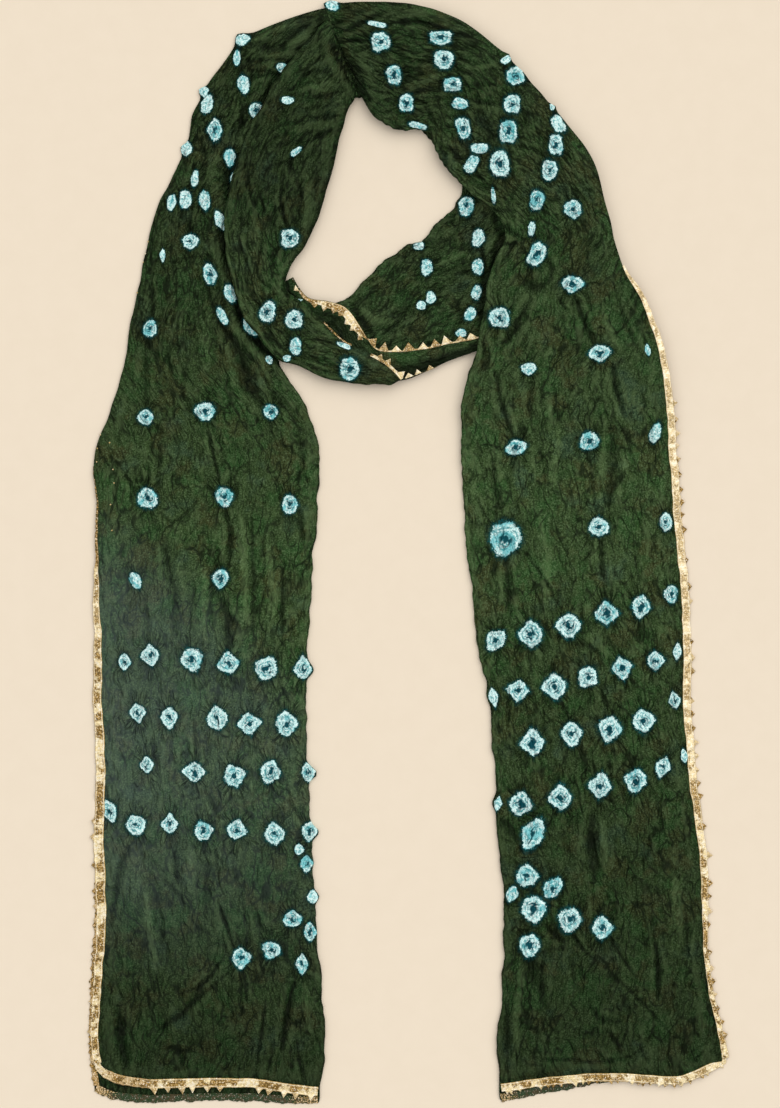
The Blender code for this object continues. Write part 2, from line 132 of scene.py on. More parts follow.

# Creases and ridges: strength, half width and the pixels they run through. A strength below 0 is a
# ridge, and the others are furrows. Each sinks or raises the cloth and is painted into its colour
# too: painted shade along a furrow, a painted highlight along a ridge.
LEFT_CREASES = (
    # the deep line beside the left band's outer edge, and the pocket below it: the band's shadow on the
    # rise, painted as deep furrows
    (0.85, 6, (321, 18), (321, 31), (309, 47), (296, 60), (284, 73), (274, 87), (266, 104),
     (256, 120), (250, 136)),
    (0.7, 4, (247, 104), (242, 120), (236, 140)), (0.95, 9, (231, 150), (232, 175), (230, 212)),
    (0.95, 6, (234, 200), (228, 220), (226, 238), (229, 258), (236, 288)),
    (0.95, 5, (236, 284), (237, 305), (243, 322), (254, 338), (266, 351), (280, 364)),
    (0.6, 3, (207, 284), (212, 303), (222, 325), (236, 344)),
    (0.8, 8, (236, 338), (243, 360), (249, 385), (260, 402)),
    (0.4, 5, (222, 318), (228, 335), (236, 352)),
    (0.4, 4, (263, 375), (275, 398), (291, 412), (299, 432), (303, 458), (300, 482)),
    # the rise
    (0.45, 4, (250, 45), (275, 50), (300, 48)), (0.5, 2, (242, 60), (262, 61), (282, 60)),
    (0.4, 2, (250, 70), (268, 72), (278, 76)), (0.4, 2, (256, 78), (268, 74)),
    (0.35, 3, (282, 45), (296, 34), (312, 24)), (-0.5, 5, (256, 40), (275, 30), (296, 24)),
    (-0.35, 5, (284, 55), (300, 42), (314, 32)), (0.45, 2, (238, 118), (231, 136), (229, 146)),
    (0.35, 3, (205, 150), (204, 175)), (0.45, 3, (152, 284), (153, 312)),
    (0.35, 4, (147, 345), (146, 372), (147, 402)), (0.35, 3, (180, 320), (172, 345), (160, 372)),
    (-0.3, 5, (188, 300), (176, 330), (168, 352)), (0.35, 3, (190, 350), (184, 380), (183, 400)),
    (-0.3, 7, (205, 310), (206, 350), (203, 385)),
    # the tail
    (0.75, 2, (207, 424), (213, 452), (220, 482)), (0.6, 2, (205, 480), (216, 498)),
    (0.4, 3, (163, 430), (160, 460), (158, 492)), (0.45, 2, (120, 464), (134, 490)),
    (0.45, 2, (140, 470), (145, 487)), (0.45, 2, (151, 470), (147, 487)),
    (0.45, 2, (160, 512), (172, 524), (184, 516), (192, 506)),
    (0.4, 5, (156, 522), (166, 545), (174, 590), (177, 635)),
    (0.5, 3, (227, 510), (231, 532), (229, 565)), (-0.35, 5, (241, 510), (243, 560), (246, 620)),
    (0.35, 3, (252, 520), (253, 570), (254, 640)), (-0.35, 6, (268, 540), (272, 590), (270, 640)),
    (0.4, 3, (283, 575), (282, 645)), (0.45, 3, (300, 510), (303, 545)),
    (0.55, 6, (223, 600), (229, 625), (228, 652)), (0.35, 3, (146, 598), (150, 645)),
    (-0.3, 6, (205, 560), (204, 640)), (0.35, 2, (199, 690), (212, 678)),
    (0.4, 2, (246, 660), (251, 694)), (0.4, 2, (279, 682), (290, 703)),
    (0.35, 3, (195, 718), (197, 760)), (0.35, 3, (154, 738), (158, 772)),
    (0.4, 3, (205, 788), (220, 818)), (0.35, 2, (240, 790), (250, 818)),
    (0.4, 2, (288, 800), (304, 822)), (0.4, 4, (127, 846), (118, 880), (112, 925)),
    (-0.3, 9, (140, 850), (134, 900)), (0.4, 3, (175, 852), (178, 884)),
    (0.35, 2, (160, 874), (173, 888), (186, 902)), (0.35, 5, (208, 865), (206, 915)),
    (-0.35, 6, (192, 850), (190, 890)), (0.4, 2, (216, 848), (220, 886)),
    (0.8, 2, (218, 900), (225, 920), (232, 940), (237, 956)),
    (0.35, 3, (254, 904), (261, 925), (276, 936)), (-0.45, 6, (146, 895), (150, 930), (156, 968)),
    (0.65, 2, (224, 956), (211, 975), (196, 988), (180, 993)),
    (0.4, 2, (226, 974), (208, 990), (192, 1003), (176, 1020)),
    (0.4, 4, (204, 988), (184, 1012), (158, 1030)), (0.55, 2, (242, 968), (246, 985), (247, 1002)),
    (0.6, 2, (266, 998), (262, 1030), (257, 1062)), (0.45, 2, (275, 1038), (268, 1072)),
    (0.7, 4, (293, 984), (288, 1012), (282, 1048)), (0.65, 2, (297, 1040), (300, 1064), (307, 1084)),
    (0.55, 6, (119, 1008), (121, 1040), (127, 1066)), (0.35, 3, (160, 1044), (178, 1050), (194, 1049)),
    (-0.35, 6, (306, 985), (310, 1030)),
)
UNDER_CREASES = (
    # the first is the right tail's shadow on the under loop, painted as a deep furrow
    (0.6, 6, (494, 216), (503, 240), (495, 258), (488, 270), (484, 292), (480, 324)),
    (0.6, 2, (480, 238), (484, 264), (482, 290)), (0.35, 5, (400, 256), (424, 246), (450, 240)),
    (0.4, 2, (452, 222), (462, 238), (462, 250)), (0.3, 6, (408, 305), (400, 318), (388, 330)),
    (0.35, 3, (452, 275), (470, 272), (486, 278)), (0.35, 3, (455, 300), (462, 322)),
    (-0.35, 5, (362, 312), (380, 322), (398, 320)), (-0.3, 6, (440, 262), (452, 258), (466, 256)),
    (0.45, 4, (352, 305), (362, 322), (374, 338)),
)
BAND_CREASES = (
    # crosswise crinkles near the top, then furrows down the band
    (0.5, 2, (329, 52), (320, 60), (306, 70)),
    # the shade along the V on the band's side, painted as a furrow
    (0.85, 5, (331, 44), (341, 61), (350, 76), (356, 88), (361, 99)),
    (0.35, 2, (300, 78), (318, 72), (334, 74)), (0.4, 2, (286, 92), (304, 86), (322, 84)),
    (0.35, 2, (300, 102), (320, 98), (346, 92)), (0.3, 2, (304, 112), (325, 108), (346, 104)),
    (0.35, 2, (272, 130), (290, 124), (306, 122)), (0.4, 3, (312, 120), (330, 118), (342, 116)),
    (0.45, 3, (300, 145), (318, 138), (330, 132)), (0.35, 2, (266, 150), (280, 146), (296, 142)),
    (-0.3, 5, (292, 132), (312, 128), (332, 124)), (-0.35, 6, (300, 90), (320, 88), (336, 86)),
    (0.7, 3, (294, 156), (290, 163), (291, 176)), (0.45, 2, (290, 162), (276, 166), (262, 172)),
    (0.75, 2, (284, 176), (281, 200), (284, 218), (290, 230)),
    (0.45, 2, (294, 170), (300, 190), (304, 208)), (0.45, 2, (248, 180), (252, 200), (262, 214)),
    (0.4, 2, (262, 196), (266, 215), (275, 228)),
    (0.55, 2, (238, 236), (243, 252), (248, 268), (254, 284)),
    (0.4, 2, (262, 240), (260, 262), (254, 278)), (-0.35, 5, (252, 200), (256, 225), (256, 250)),
    (-0.35, 6, (306, 175), (308, 200), (306, 222)), (0.4, 3, (276, 242), (272, 262), (270, 290)),
    (0.45, 3, (286, 272), (284, 290), (292, 302)), (0.55, 4, (262, 328), (272, 340), (284, 350)),
    (0.5, 3, (286, 330), (290, 340), (286, 352)),
    (0.55, 4, (304, 296), (316, 308), (326, 320), (338, 334)),
    (0.45, 2, (300, 352), (316, 362), (334, 368)), (0.4, 2, (302, 362), (318, 370), (334, 374)),
    (-0.3, 3, (304, 356), (320, 365), (336, 371)), (0.45, 2, (312, 340), (326, 342), (336, 346)),
)
RIGHT_CREASES = (
    # the top band, from the V round to the tail; the first, wide one is the shade in the V, painted as a
    # furrow
    (0.85, 7, (331, 42), (343, 60), (353, 75), (361, 88), (366, 101)),
    (0.55, 3, (335, 34), (352, 29), (370, 20), (386, 13)), (0.5, 2, (338, 44), (352, 42), (366, 44)),
    (0.35, 3, (352, 15), (372, 10)), (-0.4, 4, (329, 12), (327, 26), (330, 40)),
    (0.55, 2, (334, 10), (332, 24), (335, 36)),
    (0.65, 3, (390, 25), (412, 23), (432, 26), (452, 34), (472, 38)),
    (0.35, 2, (352, 55), (368, 50), (380, 56)), (0.35, 2, (366, 88), (380, 94), (396, 95)),
    (0.35, 2, (404, 52), (424, 52), (434, 56)), (0.4, 2, (402, 62), (418, 64), (432, 62)),
    (0.4, 2, (456, 60), (472, 66), (492, 64)), (0.35, 2, (458, 74), (476, 74), (498, 70)),
    (0.35, 2, (464, 88), (484, 84), (500, 88)), (0.4, 3, (412, 94), (430, 90), (446, 92)),
    (-0.35, 4, (412, 84), (430, 80), (444, 78)), (-0.35, 4, (460, 66), (480, 70), (496, 66)),
    (-0.4, 5, (404, 12), (430, 14), (454, 22)), (0.6, 8, (478, 116), (486, 128), (492, 145)),
    (0.45, 3, (468, 100), (482, 104), (500, 106)), (0.6, 3, (438, 144), (444, 156), (446, 168)),
    (0.65, 4, (448, 148), (456, 156), (462, 164)), (0.4, 2, (424, 102), (430, 116), (436, 128)),
    (0.35, 2, (516, 108), (530, 116), (544, 130)), (0.4, 2, (524, 148), (536, 152), (544, 160)),
    (0.35, 2, (560, 168), (575, 178), (584, 192)), (0.4, 2, (520, 182), (512, 196), (508, 208)),
    # the tail
    (0.5, 2, (480, 211), (500, 211), (516, 212)), (0.6, 3, (500, 222), (510, 233), (524, 240)),
    (0.65, 3, (500, 244), (512, 246), (522, 241)), (0.6, 3, (512, 246), (507, 256), (503, 264)),
    (0.5, 3, (546, 256), (552, 270), (548, 282)), (0.45, 7, (522, 282), (536, 288), (546, 284)),
    (0.55, 4, (530, 300), (522, 315), (514, 332), (500, 348)), (0.5, 2, (556, 296), (566, 312)),
    (0.65, 4, (575, 300), (583, 320), (593, 343)), (0.4, 2, (548, 325), (560, 332)),
    (0.35, 3, (616, 292), (625, 328), (642, 358)), (0.5, 4, (482, 338), (486, 358), (480, 372)),
    (0.6, 3, (495, 372), (500, 400), (508, 424), (513, 437)), (0.35, 3, (532, 378), (531, 412)),
    (0.6, 3, (612, 364), (615, 390), (625, 416)), (0.45, 2, (614, 418), (628, 440), (646, 456)),
    (0.5, 6, (612, 428), (613, 465), (609, 505)), (0.35, 3, (640, 388), (646, 412)),
    (-0.35, 6, (600, 300), (606, 330), (620, 352)), (-0.3, 7, (548, 400), (556, 440), (552, 480)),
    (0.5, 3, (492, 458), (495, 485), (497, 514)), (0.45, 2, (476, 498), (490, 524)),
    (0.55, 4, (506, 560), (508, 590), (511, 617)), (0.45, 2, (590, 460), (593, 485), (595, 512)),
    (0.45, 3, (600, 542), (603, 566), (606, 592)), (0.35, 2, (590, 545), (582, 572)),
    (0.4, 2, (524, 552), (544, 578), (556, 602)), (0.4, 2, (561, 578), (555, 612)),
    (0.4, 2, (634, 556), (640, 584)), (0.4, 2, (655, 534), (649, 562)),
    (0.5, 2, (626, 588), (636, 606)), (-0.3, 6, (540, 520), (548, 560), (545, 600)),
    (0.45, 2, (545, 624), (553, 642)), (0.45, 3, (586, 644), (602, 656)),
    (0.4, 2, (529, 654), (532, 677)), (0.35, 8, (632, 632), (648, 636)),
    (0.45, 2, (560, 700), (569, 717)), (0.5, 2, (600, 690), (607, 707)),
    (0.4, 3, (507, 700), (509, 722)), (0.45, 3, (504, 744), (520, 757)),
    (0.45, 2, (580, 758), (586, 776)), (0.45, 2, (607, 748), (612, 782)),
    (0.35, 3, (655, 792), (664, 834)), (0.65, 7, (592, 818), (592, 850), (594, 880)),
    (-0.35, 4, (603, 820), (604, 870)), (0.4, 2, (646, 828), (650, 850), (640, 864)),
    (0.4, 3, (667, 858), (679, 878)), (-0.35, 8, (672, 850), (676, 900), (674, 950)),
    (0.4, 3, (650, 900), (654, 930), (655, 948)), (0.55, 3, (544, 924), (555, 935), (564, 941)),
    (0.6, 2, (571, 931), (582, 948), (594, 959)), (0.6, 2, (611, 938), (620, 955), (636, 977)),
    (0.42, 2, (598, 960), (614, 975), (630, 990), (645, 1005), (658, 1020), (670, 1032)),
    (0.7, 3, (656, 944), (658, 970), (657, 995)), (0.45, 3, (685, 908), (687, 930), (687, 955)),
    (0.45, 5, (530, 958), (535, 988)), (0.6, 4, (541, 962), (542, 1002)),
    (0.45, 2, (572, 958), (574, 988)), (0.5, 2, (540, 1018), (548, 1038), (545, 1054)),
    (0.6, 3, (607, 1029), (622, 1050)), (0.4, 3, (640, 1044), (648, 1062)),
    (0.5, 2, (532, 1056), (548, 1059), (566, 1058), (588, 1061), (612, 1060), (634, 1055)),
    (0.35, 3, (588, 1003), (600, 1019), (622, 1022)), (-0.35, 5, (520, 960), (518, 1000), (516, 1050)),
    (0.45, 4, (508, 1000), (506, 1040), (508, 1070)),
)

# Groups of dots: their usual width and height, how blue they are, how square (2 is round, less is a
# diamond, more is a square), and each dot's x, y and, where they differ from the group's, its width,
# height and tilt in degrees.
LEFT_DOTS = (
    (13, 19, 0.35, 1.8, (
        (242, 40, 16, 13, 20), (237, 59, 8, 17), (244, 85, 13, 22, 8), (256, 111, 14, 18, 12),
        (282, 68, 14, 10), (204, 91, 11, 12), (207, 106, 13, 22, -18), (215, 130, 16, 25),
        (187, 149, 12, 16), (230, 157, 13, 20), (244, 162, 6, 17), (235, 180, 10, 20),
        (195, 179, 8, 20, -8), (186, 200, 13, 20), (172, 203, 10, 18, -10), (205, 200, 13, 22, 8),
        (221, 222, 12, 23, 25), (190, 242, 17, 17), (163, 256, 6, 15), (210, 275, 14, 23, 12),
        (230, 294, 12, 21, 20), (222, 316, 9, 21, 28), (250, 326, 13, 24, 32), (269, 360, 8, 10, 35),
    )),
    (15, 18, 0.55, 1.7, (
        (150, 329, 15, 19, -10), (146, 417, 17, 18, 15), (205, 411, 23, 19), (271, 412, 16, 16),
        (148, 498, 21, 23, 18), (225, 497, 19, 21, 25), (290, 504, 17, 22), (136, 581, 12, 20, 25),
        (221, 579, 18, 22, -10),
    )),
    (22, 25, 0.1, 1.28, (
        (125, 662, 14, 18, 12), (151, 656, 20, 23, 15), (192, 660, 23, 26, 20), (229, 663, 24, 24, 20),
        (267, 668, 24, 25, -15), (303, 669, 19, 25), (138, 713, 17, 20, 12), (170, 717, 18, 23, 12),
        (217, 718, 22, 25), (250, 723, 26, 24, 15), (287, 724, 23, 27, 12), (147, 765, 15, 18),
        (195, 772, 25, 21, 8), (234, 775, 24, 25, 10), (271, 772, 22, 25), (308, 772, 15, 23),
        (109, 811, 17, 25, 20), (136, 824, 22, 22, 15), (170, 823, 18, 22), (204, 831, 20, 21, 25),
        (237, 830, 22, 21, -10), (275, 833, 22, 24, 15), (310, 831, 17, 22),
    )),
    (13, 17, 0.35, 1.5, (
        (299, 849, 11, 13), (307, 863, 15, 20), (313, 896, 12, 16), (292, 919, 21, 19),
        (310, 931, 14, 22), (241, 957, 21, 24), (272, 949, 22, 21, -25), (302, 963, 14, 22),
    )),
)
RIGHT_DOTS = (
    (16, 20, 0.3, 2.9, (
        (332, 6, 15, 12), (377, 26, 22, 6, -12), (381, 44, 21, 21, 15), (394, 76, 17, 22, 10),
        (406, 105, 16, 20), (418, 127, 20, 7, -15), (440, 40, 25, 16), (444, 61, 22, 21, -8),
        (453, 86, 20, 16), (460, 105, 18, 13, -8), (463, 130, 15, 25, 15), (479, 150, 20, 11),
        (471, 166, 13, 22, -30), (515, 78, 20, 20, 25), (512, 106, 18, 22), (508, 134, 20, 25),
        (499, 166, 22, 30, 5), (493, 197, 5, 20, 5), (506, 61, 13, 8, 35), (552, 108, 6, 8),
        (557, 125, 14, 21, 28), (555, 146, 16, 23), (549, 172, 17, 24, -8), (536, 201, 16, 24, -8),
        (531, 230, 8, 17, -8), (536, 256, 18, 28, -25), (499, 319, 23, 22),
    )),
    (17, 17, 0.42, 1.6, (
        (572, 210, 19, 20), (571, 285, 25, 19), (528, 369, 17, 13), (598, 354, 25, 19, 8),
        (647, 351, 6, 13, 10), (516, 448, 24, 17, 18), (589, 442, 22, 20, 20), (655, 434, 12, 23, -18),
        (506, 539, 34, 38, -15), (598, 527, 22, 21), (665, 522, 14, 20), (671, 594, 15, 20),
    )),
    (25, 26, 0.12, 1.25, (
        (496, 640, 19, 26, -30), (530, 634, 26, 28, -12), (568, 625, 26, 26), (606, 613, 26, 26),
        (641, 607, 20, 25), (677, 651, 9, 19), (518, 690, 25, 24), (554, 687, 26, 27),
        (588, 677, 23, 24, -25), (621, 668, 23, 25), (655, 661, 18, 21), (674, 700, 13, 19),
        (493, 697, 11, 23), (532, 743, 26, 29), (571, 733, 22, 26), (609, 728, 25, 27, -20),
        (643, 720, 23, 25, 10), (684, 756, 8, 16), (498, 803, 9, 18), (521, 804, 25, 25),
        (560, 798, 25, 27), (600, 786, 25, 29), (635, 781, 22, 26, -20), (663, 766, 16, 24, -10),
    )),
    (18, 22, 0.5, 1.45, (
        (532, 834, 23, 37, -38), (527, 875, 23, 23), (512, 894, 12, 18, -18), (552, 888, 18, 24, -40),
        (533, 909, 26, 28), (570, 919, 24, 26), (602, 928, 22, 25), (530, 945, 21, 25),
    )),
)
UNDER_DOTS = (
    (12, 18, 0.25, 2.4, (
        (466, 206, 17, 22, -8), (478, 238, 14, 21, -10), (478, 267, 13, 18), (476, 293, 11, 18, -12),
        (470, 314, 12, 17, -25), (461, 333, 12, 10), (419, 246, 13, 10), (427, 268, 13, 18),
        (431, 298, 11, 14), (421, 306, 11, 10),
    )),
)
BAND_DOTS = (
    (14, 17, 0.3, 2.2, (
        (288, 102, 16, 9), (290, 239, 21, 21), (296, 153, 15, 7, 38), (315, 305, 10, 6, -20),
        (301, 300, 5, 4), (268, 312, 18, 24, -20), (294, 320, 20, 21), (296, 348, 13, 20),
        (287, 359, 9, 8), (344, 346, 17, 6, -22), (350, 370, 23, 26),
    )),
)

# loft is how much a stretch's middle stands up, and edge how wide its open edge's slope is and how
# far it sinks. Tables of (place along the stretch, value) say how bright the cloth is, how much
# painted sheen lies on it and how strong its short crinkles. Tables of (share of the width,
# millimetres) say how far the front ply's hem hangs past its first row, and how much farther the
# back ply's does. flat is the cut of what shows, in metres.
PLAIN = ((0, 0), (1, 0))
Cloth = namedtuple(
    "Cloth",
    "name nodes level rows creases dots seed flat loft edge covered shade crush haze hem hem_peek "
    "rests_on",
    defaults=(PLAIN, PLAIN, PLAIN, ()),
)
CLOTHS = (
    Cloth(
        "silk_left", ("left_tail", "left_rise"), 0, LEFT_ROWS, LEFT_CREASES, LEFT_DOTS,
        seed=3, flat=(0.34, 0.86), loft=1.2, edge=(10, 1.6), covered=True,
        shade=(
            (0, 0.44), (41, 0.47), (86, 0.57), (131, 0.70), (176, 0.84), (221, 1.00), (311, 0.98),
            (356, 0.98), (401, 0.98), (446, 0.93), (491, 0.87), (536, 0.77), (581, 0.66), (640, 0.62),
            (700, 0.66), (800, 0.52), (900, 0.35),
        ),
        crush=((0, 1.0), (480, 1.2), (600, 1.8), (900, 2.4)),
        haze=((0, 0), (70, 0.05), (150, 0.8), (280, 1.0), (370, 0.85), (450, 0.1)),
        hem=(
            (0, -8), (0.03, -3.2), (0.07, -0.4), (0.12, 1.2), (0.23, 2.5), (0.5, -1.5), (0.7, -3.5),
            (0.87, -1), (1, 0),
        ),
        hem_peek=((0, 18), (0.05, 16), (0.12, 14), (0.3, 12.5), (0.7, 12.5), (0.87, 10), (1, 8)),
    ),
    Cloth(
        "silk_under", ("under_loop",), 0, UNDER_ROWS, UNDER_CREASES, UNDER_DOTS,
        seed=17, flat=(0.17, 0.50), loft=0.2, edge=(5, 2.2), covered=True,
        shade=((0, 0.52), (200, 0.66), (330, 0.74), (520, 0.62)), crush=((0, 1.6), (500, 1.6)),
    ),
    Cloth(
        "silk_band", ("left_band",), 1, BAND_ROWS, BAND_CREASES, BAND_DOTS,
        seed=29, flat=(0.11, 0.33), loft=0.7, edge=(5, 2.2), covered=False, rests_on=("silk_left",),
        shade=((0, 0.74), (70, 0.79), (130, 0.88), (180, 0.56), (220, 0.50), (280, 0.56), (330, 0.62)),
        crush=((0, 1.5), (330, 2.4)),
    ),
    Cloth(
        "silk_right", ("right_tail", "top_band"), 1, RIGHT_ROWS, RIGHT_CREASES, RIGHT_DOTS,
        seed=41, flat=(0.32, 0.98), loft=1.2, edge=(10, 1.6), covered=False, rests_on=("silk_under",),
        shade=(
            (0, 0.48), (41, 0.50), (86, 0.55), (131, 0.62), (176, 0.64), (221, 0.78), (266, 0.82),
            (311, 0.88), (356, 0.97), (401, 1.02), (446, 1.10), (491, 0.94), (536, 0.88), (581, 0.82),
            (680, 0.80), (760, 0.66), (900, 0.53), (980, 0.46),
        ),
        crush=((0, 1.0), (560, 1.3), (700, 2.0), (980, 2.4)),
        hem=(
            (0, 0), (0.1, 6.2), (0.14, 8.4), (0.17, 9.7), (0.2, 10.2), (0.23, 9.9), (0.27, 8.8),
            (0.35, 6), (0.45, 3), (0.6, 0), (0.8, -1), (1, 0),
        ),
        hem_peek=((0, 0), (0.45, 0), (0.7, 6), (1, 9)),
    ),
)

# The gota tapes. A tape reaches from low to high past its edge, as numbers or tables of (place,
# reach); facing -1 turns that way into the cloth. wear, a number or a table, is 0 for bright tape
# and 1 for tape worn down to its dark ground, and ragged is how uneven its far side is. Places are
# counted from the edge's point number lead. skipped is the share of teeth that don't show.
END = 999  # past the end of every tape
CORNER_LEAD = 5  # how many points of the side a hem's tape has before its corner
Teeth = namedtuple("Teeth", "tall pitch wide skipped wear first last", defaults=(0, END))
Tape = namedtuple(
    "Tape", "name node edge span low high teeth wear seed ragged lift lead facing",
    defaults=(None, 0.0, 1, 0.0, 0.35, 0, 1),
)
TAPES = (
    Tape("gota_left_side", "left_side_tape", "left_side", (2, 452), seed=5, ragged=0.35,
         low=((0, -3.0), (60, -3.2), (146, -4.4), (170, -3.4), (281, -2.6), (356, -1.9), (430, -0.7),
              (452, -0.1)),
         high=((0, 3.0), (60, 3.0), (130, 3.6), (170, 4.2), (300, 4.0), (360, 2.6), (385, 0.8),
               (430, 0.5), (452, 0.1)),
         wear=((0, 0.1), (60, 0.12), (90, 0.0), (140, 0.1), (165, 0.0), (300, 0.0), (350, -0.2),
               (390, 0.5), (452, 0.7)),
         teeth=Teeth(2.6, 10.4, 0.6, 0.2, 0.35, last=190)),
    Tape("gota_left_hem", "left_hem_tape", "left_hem", (-7, END), seed=6, ragged=0.3,
         low=((-7, -0.4), (0, -2.6), (7, -4.3)), high=2.8, lift=0.5, lead=CORNER_LEAD,
         wear=((0, 0.2), (10, 0.35), (40, 0.42), (52, 0.05), (150, 0.12), (170, 0.0)),
         teeth=Teeth(4.0, 9.8, 0.58, 0.12, -0.2, first=40)),
    Tape("gota_left_back_hem", "left_back_hem_tape", "left_back_hem", (0, END), seed=9, ragged=0.8,
         low=-5.0, high=0.9, lift=0.3,
         wear=((0, 0.55), (12, 0.7), (22, 1.0), (140, 1.0), (155, 0.72), (172, 0.6))),
    Tape("gota_left_back_side", "left_back_side_tape", "left_back_side", (4, 190), seed=10,
         ragged=0.5, low=-3.4, high=0.8, lift=0.3, wear=0.5, teeth=Teeth(1.4, 10.4, 0.6, 0.2, 0.5)),
    Tape("gota_right_side", "right_side_tape", "right_side", (3, 606), seed=7, ragged=0.3,
         low=((3, -0.8), (480, -0.6), (606, -0.1)),
         high=((3, 4.6), (20, 3.6), (60, 3.0), (105, 3.2), (135, 5.0), (300, 5.6), (480, 5.4),
               (540, 4.4), (590, 3.2), (606, 1.2)),
         wear=((3, 0.15), (30, 0.1), (140, 0.0), (260, -0.2), (606, -0.28)),
         teeth=Teeth(3.0, 10.6, 0.6, 0.2, 0.3, last=520)),
    Tape("gota_right_hem", "right_hem_tape", "right_hem", (-5, END), seed=8, ragged=0.4,
         low=((-5, -0.4), (0, -0.9), (9, -3.8)), high=2.6, lift=0.5, lead=CORNER_LEAD,
         wear=((0, 0.2), (8, -0.15), (70, -0.1), (85, 0.2), (130, 0.2), (160, 0.0)),
         teeth=Teeth(2.2, 5.3, 0.75, 0.25, 0.1)),
    Tape("gota_right_back_hem", "right_back_hem_tape", "right_back_hem", (78, END), seed=11,
         ragged=0.8, low=-5.0, high=1.4, lift=0.3,
         wear=((78, 0.85), (90, 1.0), (150, 1.0), (165, 0.7), (180, 0.6))),
    Tape("gota_neck_back", "neck_back_tape", "chin", (8, 96), seed=12,
         low=-0.9, high=0.3, wear=-0.1, teeth=Teeth(5.2, 9.6, 0.84, 0.0, -0.1)),
    Tape("gota_neck_turned", "neck_turned_tape", "chin", (96, 182), seed=13, ragged=0.3, facing=-1,
         low=0.3, high=((96, 1.2), (103, 5.0), (118, 6.4), (138, 5.2), (150, 3.0), (182, 0.8)),
         wear=((96, 0.1), (145, 0.1), (156, 0.5), (166, 0.9), (182, 0.95)),
         teeth=Teeth(3.0, 8.0, 0.75, 0.1, -0.1, last=174)),
    Tape("gota_neck_front", "neck_front_tape", "band", (0, 30), seed=14, ragged=0.2,
         low=-1.3, high=1.1, wear=0.1, teeth=Teeth(3.6, 9.0, 0.7, 0.0, 0.0)),
    Tape("gota_neck_front_left", "neck_front_tape_left", "band", (46, 73), seed=15, ragged=0.3,
         low=-0.9, high=0.5, wear=0.6),
    Tape("gota_chin_fringe", None, "fringe", (0, END), seed=16, ragged=0.2, facing=-1,
         low=-0.3, high=0.3, wear=0.85, teeth=Teeth(3.2, 8.6, 0.72, 0.0, -0.1)),
)
TAPE_STEP, RIB_PITCH = 0.8, 1.9
# Across a tape from its low side: share, height. Two cords stand up beside its margins.
TAPE_PROFILE = (
    (0, -0.25), (0.03, 0.12), (0.12, 0.36), (0.21, 0.12), (0.5, 0.3),
    (0.79, 0.12), (0.88, 0.36), (0.97, 0.12), (1, -0.35),
)
TOOTH_FACES = ((0, 1, 4), (1, 2, 4), (2, 3, 4), (3, 0, 4), (0, 3, 7, 5), (3, 2, 6, 7), (5, 7, 6))
TOOTH_SHARES = (0.1, 0.5, 0.9, 0.5, 0.5, 0.1, 0.9, 0.5)
FRINGE_PX = ((402, 380), (413, 376.5), (425, 372), (437, 367))
FRINGE_Z = 7.2
GLINTS_PX = (
    (101, 436), (98, 448), (97, 462), (110, 444), (113, 470), (114, 483), (111, 505), (112, 531),
    (146, 242), (141, 252), (137, 262), (133, 292),
)
GLINT_CORNERS = ((-0.7, 0, 0.15), (0, -0.6, 0.15), (0.7, 0, 0.15), (0, 0.6, 0.15), (0, 0, 0.5))

# Colours.
# The first green is painted shade, for the floors of creases and the gaps between threads.
CREASE_SHADE_GREEN = (0.006, 0.011, 0.004)  # the green at the bottom of a crease
# The brighter gold is a painted highlight on the tape.
PALE_GOLD, HIGHLIGHT_GOLD = (0.90, 0.75, 0.42), (1.0, 0.95, 0.78)
FLOOR_COLOUR, FLOOR_COLOUR_LIGHT = (0.735, 0.640, 0.515), (0.745, 0.650, 0.525)

# The studio.
FLOOR_HALF = 4.0  # metres
VIEW_CENTRE_PX = (390, 554)
VIEW_HEIGHT = 1108 * PX * MM  # metres of the board from the picture's top to its bottom
CAMERA_DISTANCE = 3.0


# ---- Small tools -----------------------------------------


def board(x, y):
    """The point of the board under a pixel, in millimetres."""
    return (x - ORIGIN_PX[0]) * PX, (ORIGIN_PX[1] - y) * PX


def read(table, places):
    """A table's values at some places; a bare number is the same everywhere."""
    if isinstance(table, tuple):
        return np.interp(places, *zip(*table))
    return np.full(len(places), table)


def ease(value, low, high):
    """0 below low, 1 above high and smooth between."""
    t = np.clip((value - low) / (high - low), 0, 1)
    return t * t * (3 - 2 * t)


def bump(far, width):
    """A smooth bump, 1 at its middle."""
    return np.exp(-((far / width) ** 2))


def noise(u, v, seed):
    """Smooth noise from about -1 to 1 over arrays of places, with a cell for each unit."""
    iu, iv = np.floor(u).astype(np.int64), np.floor(v).astype(np.int64)
    fu, fv = u - iu, v - iv

    def corner(du, dv):
        n = (iu + du) * 374761393 + (iv + dv) * 668265263 + seed * 97463
        n = (n ^ (n >> 13)) * 1274126177
        angle = ((n ^ (n >> 16)) & 0xFFFF) * (2 * math.pi / 0x10000)
        return np.cos(angle) * (fu - du) + np.sin(angle) * (fv - dv)

    su, sv = (t**3 * (t * (t * 6 - 15) + 10) for t in (fu, fv))
    low = corner(0, 0) * (1 - su) + corner(1, 0) * su
    high = corner(0, 1) * (1 - su) + corner(1, 1) * su
    return 1.5 * (low * (1 - sv) + high * sv)


def wobble(along, pitch, seed, row=0.5):
    """Noise along a line."""
    return noise(along / pitch, along * 0 + row, seed)


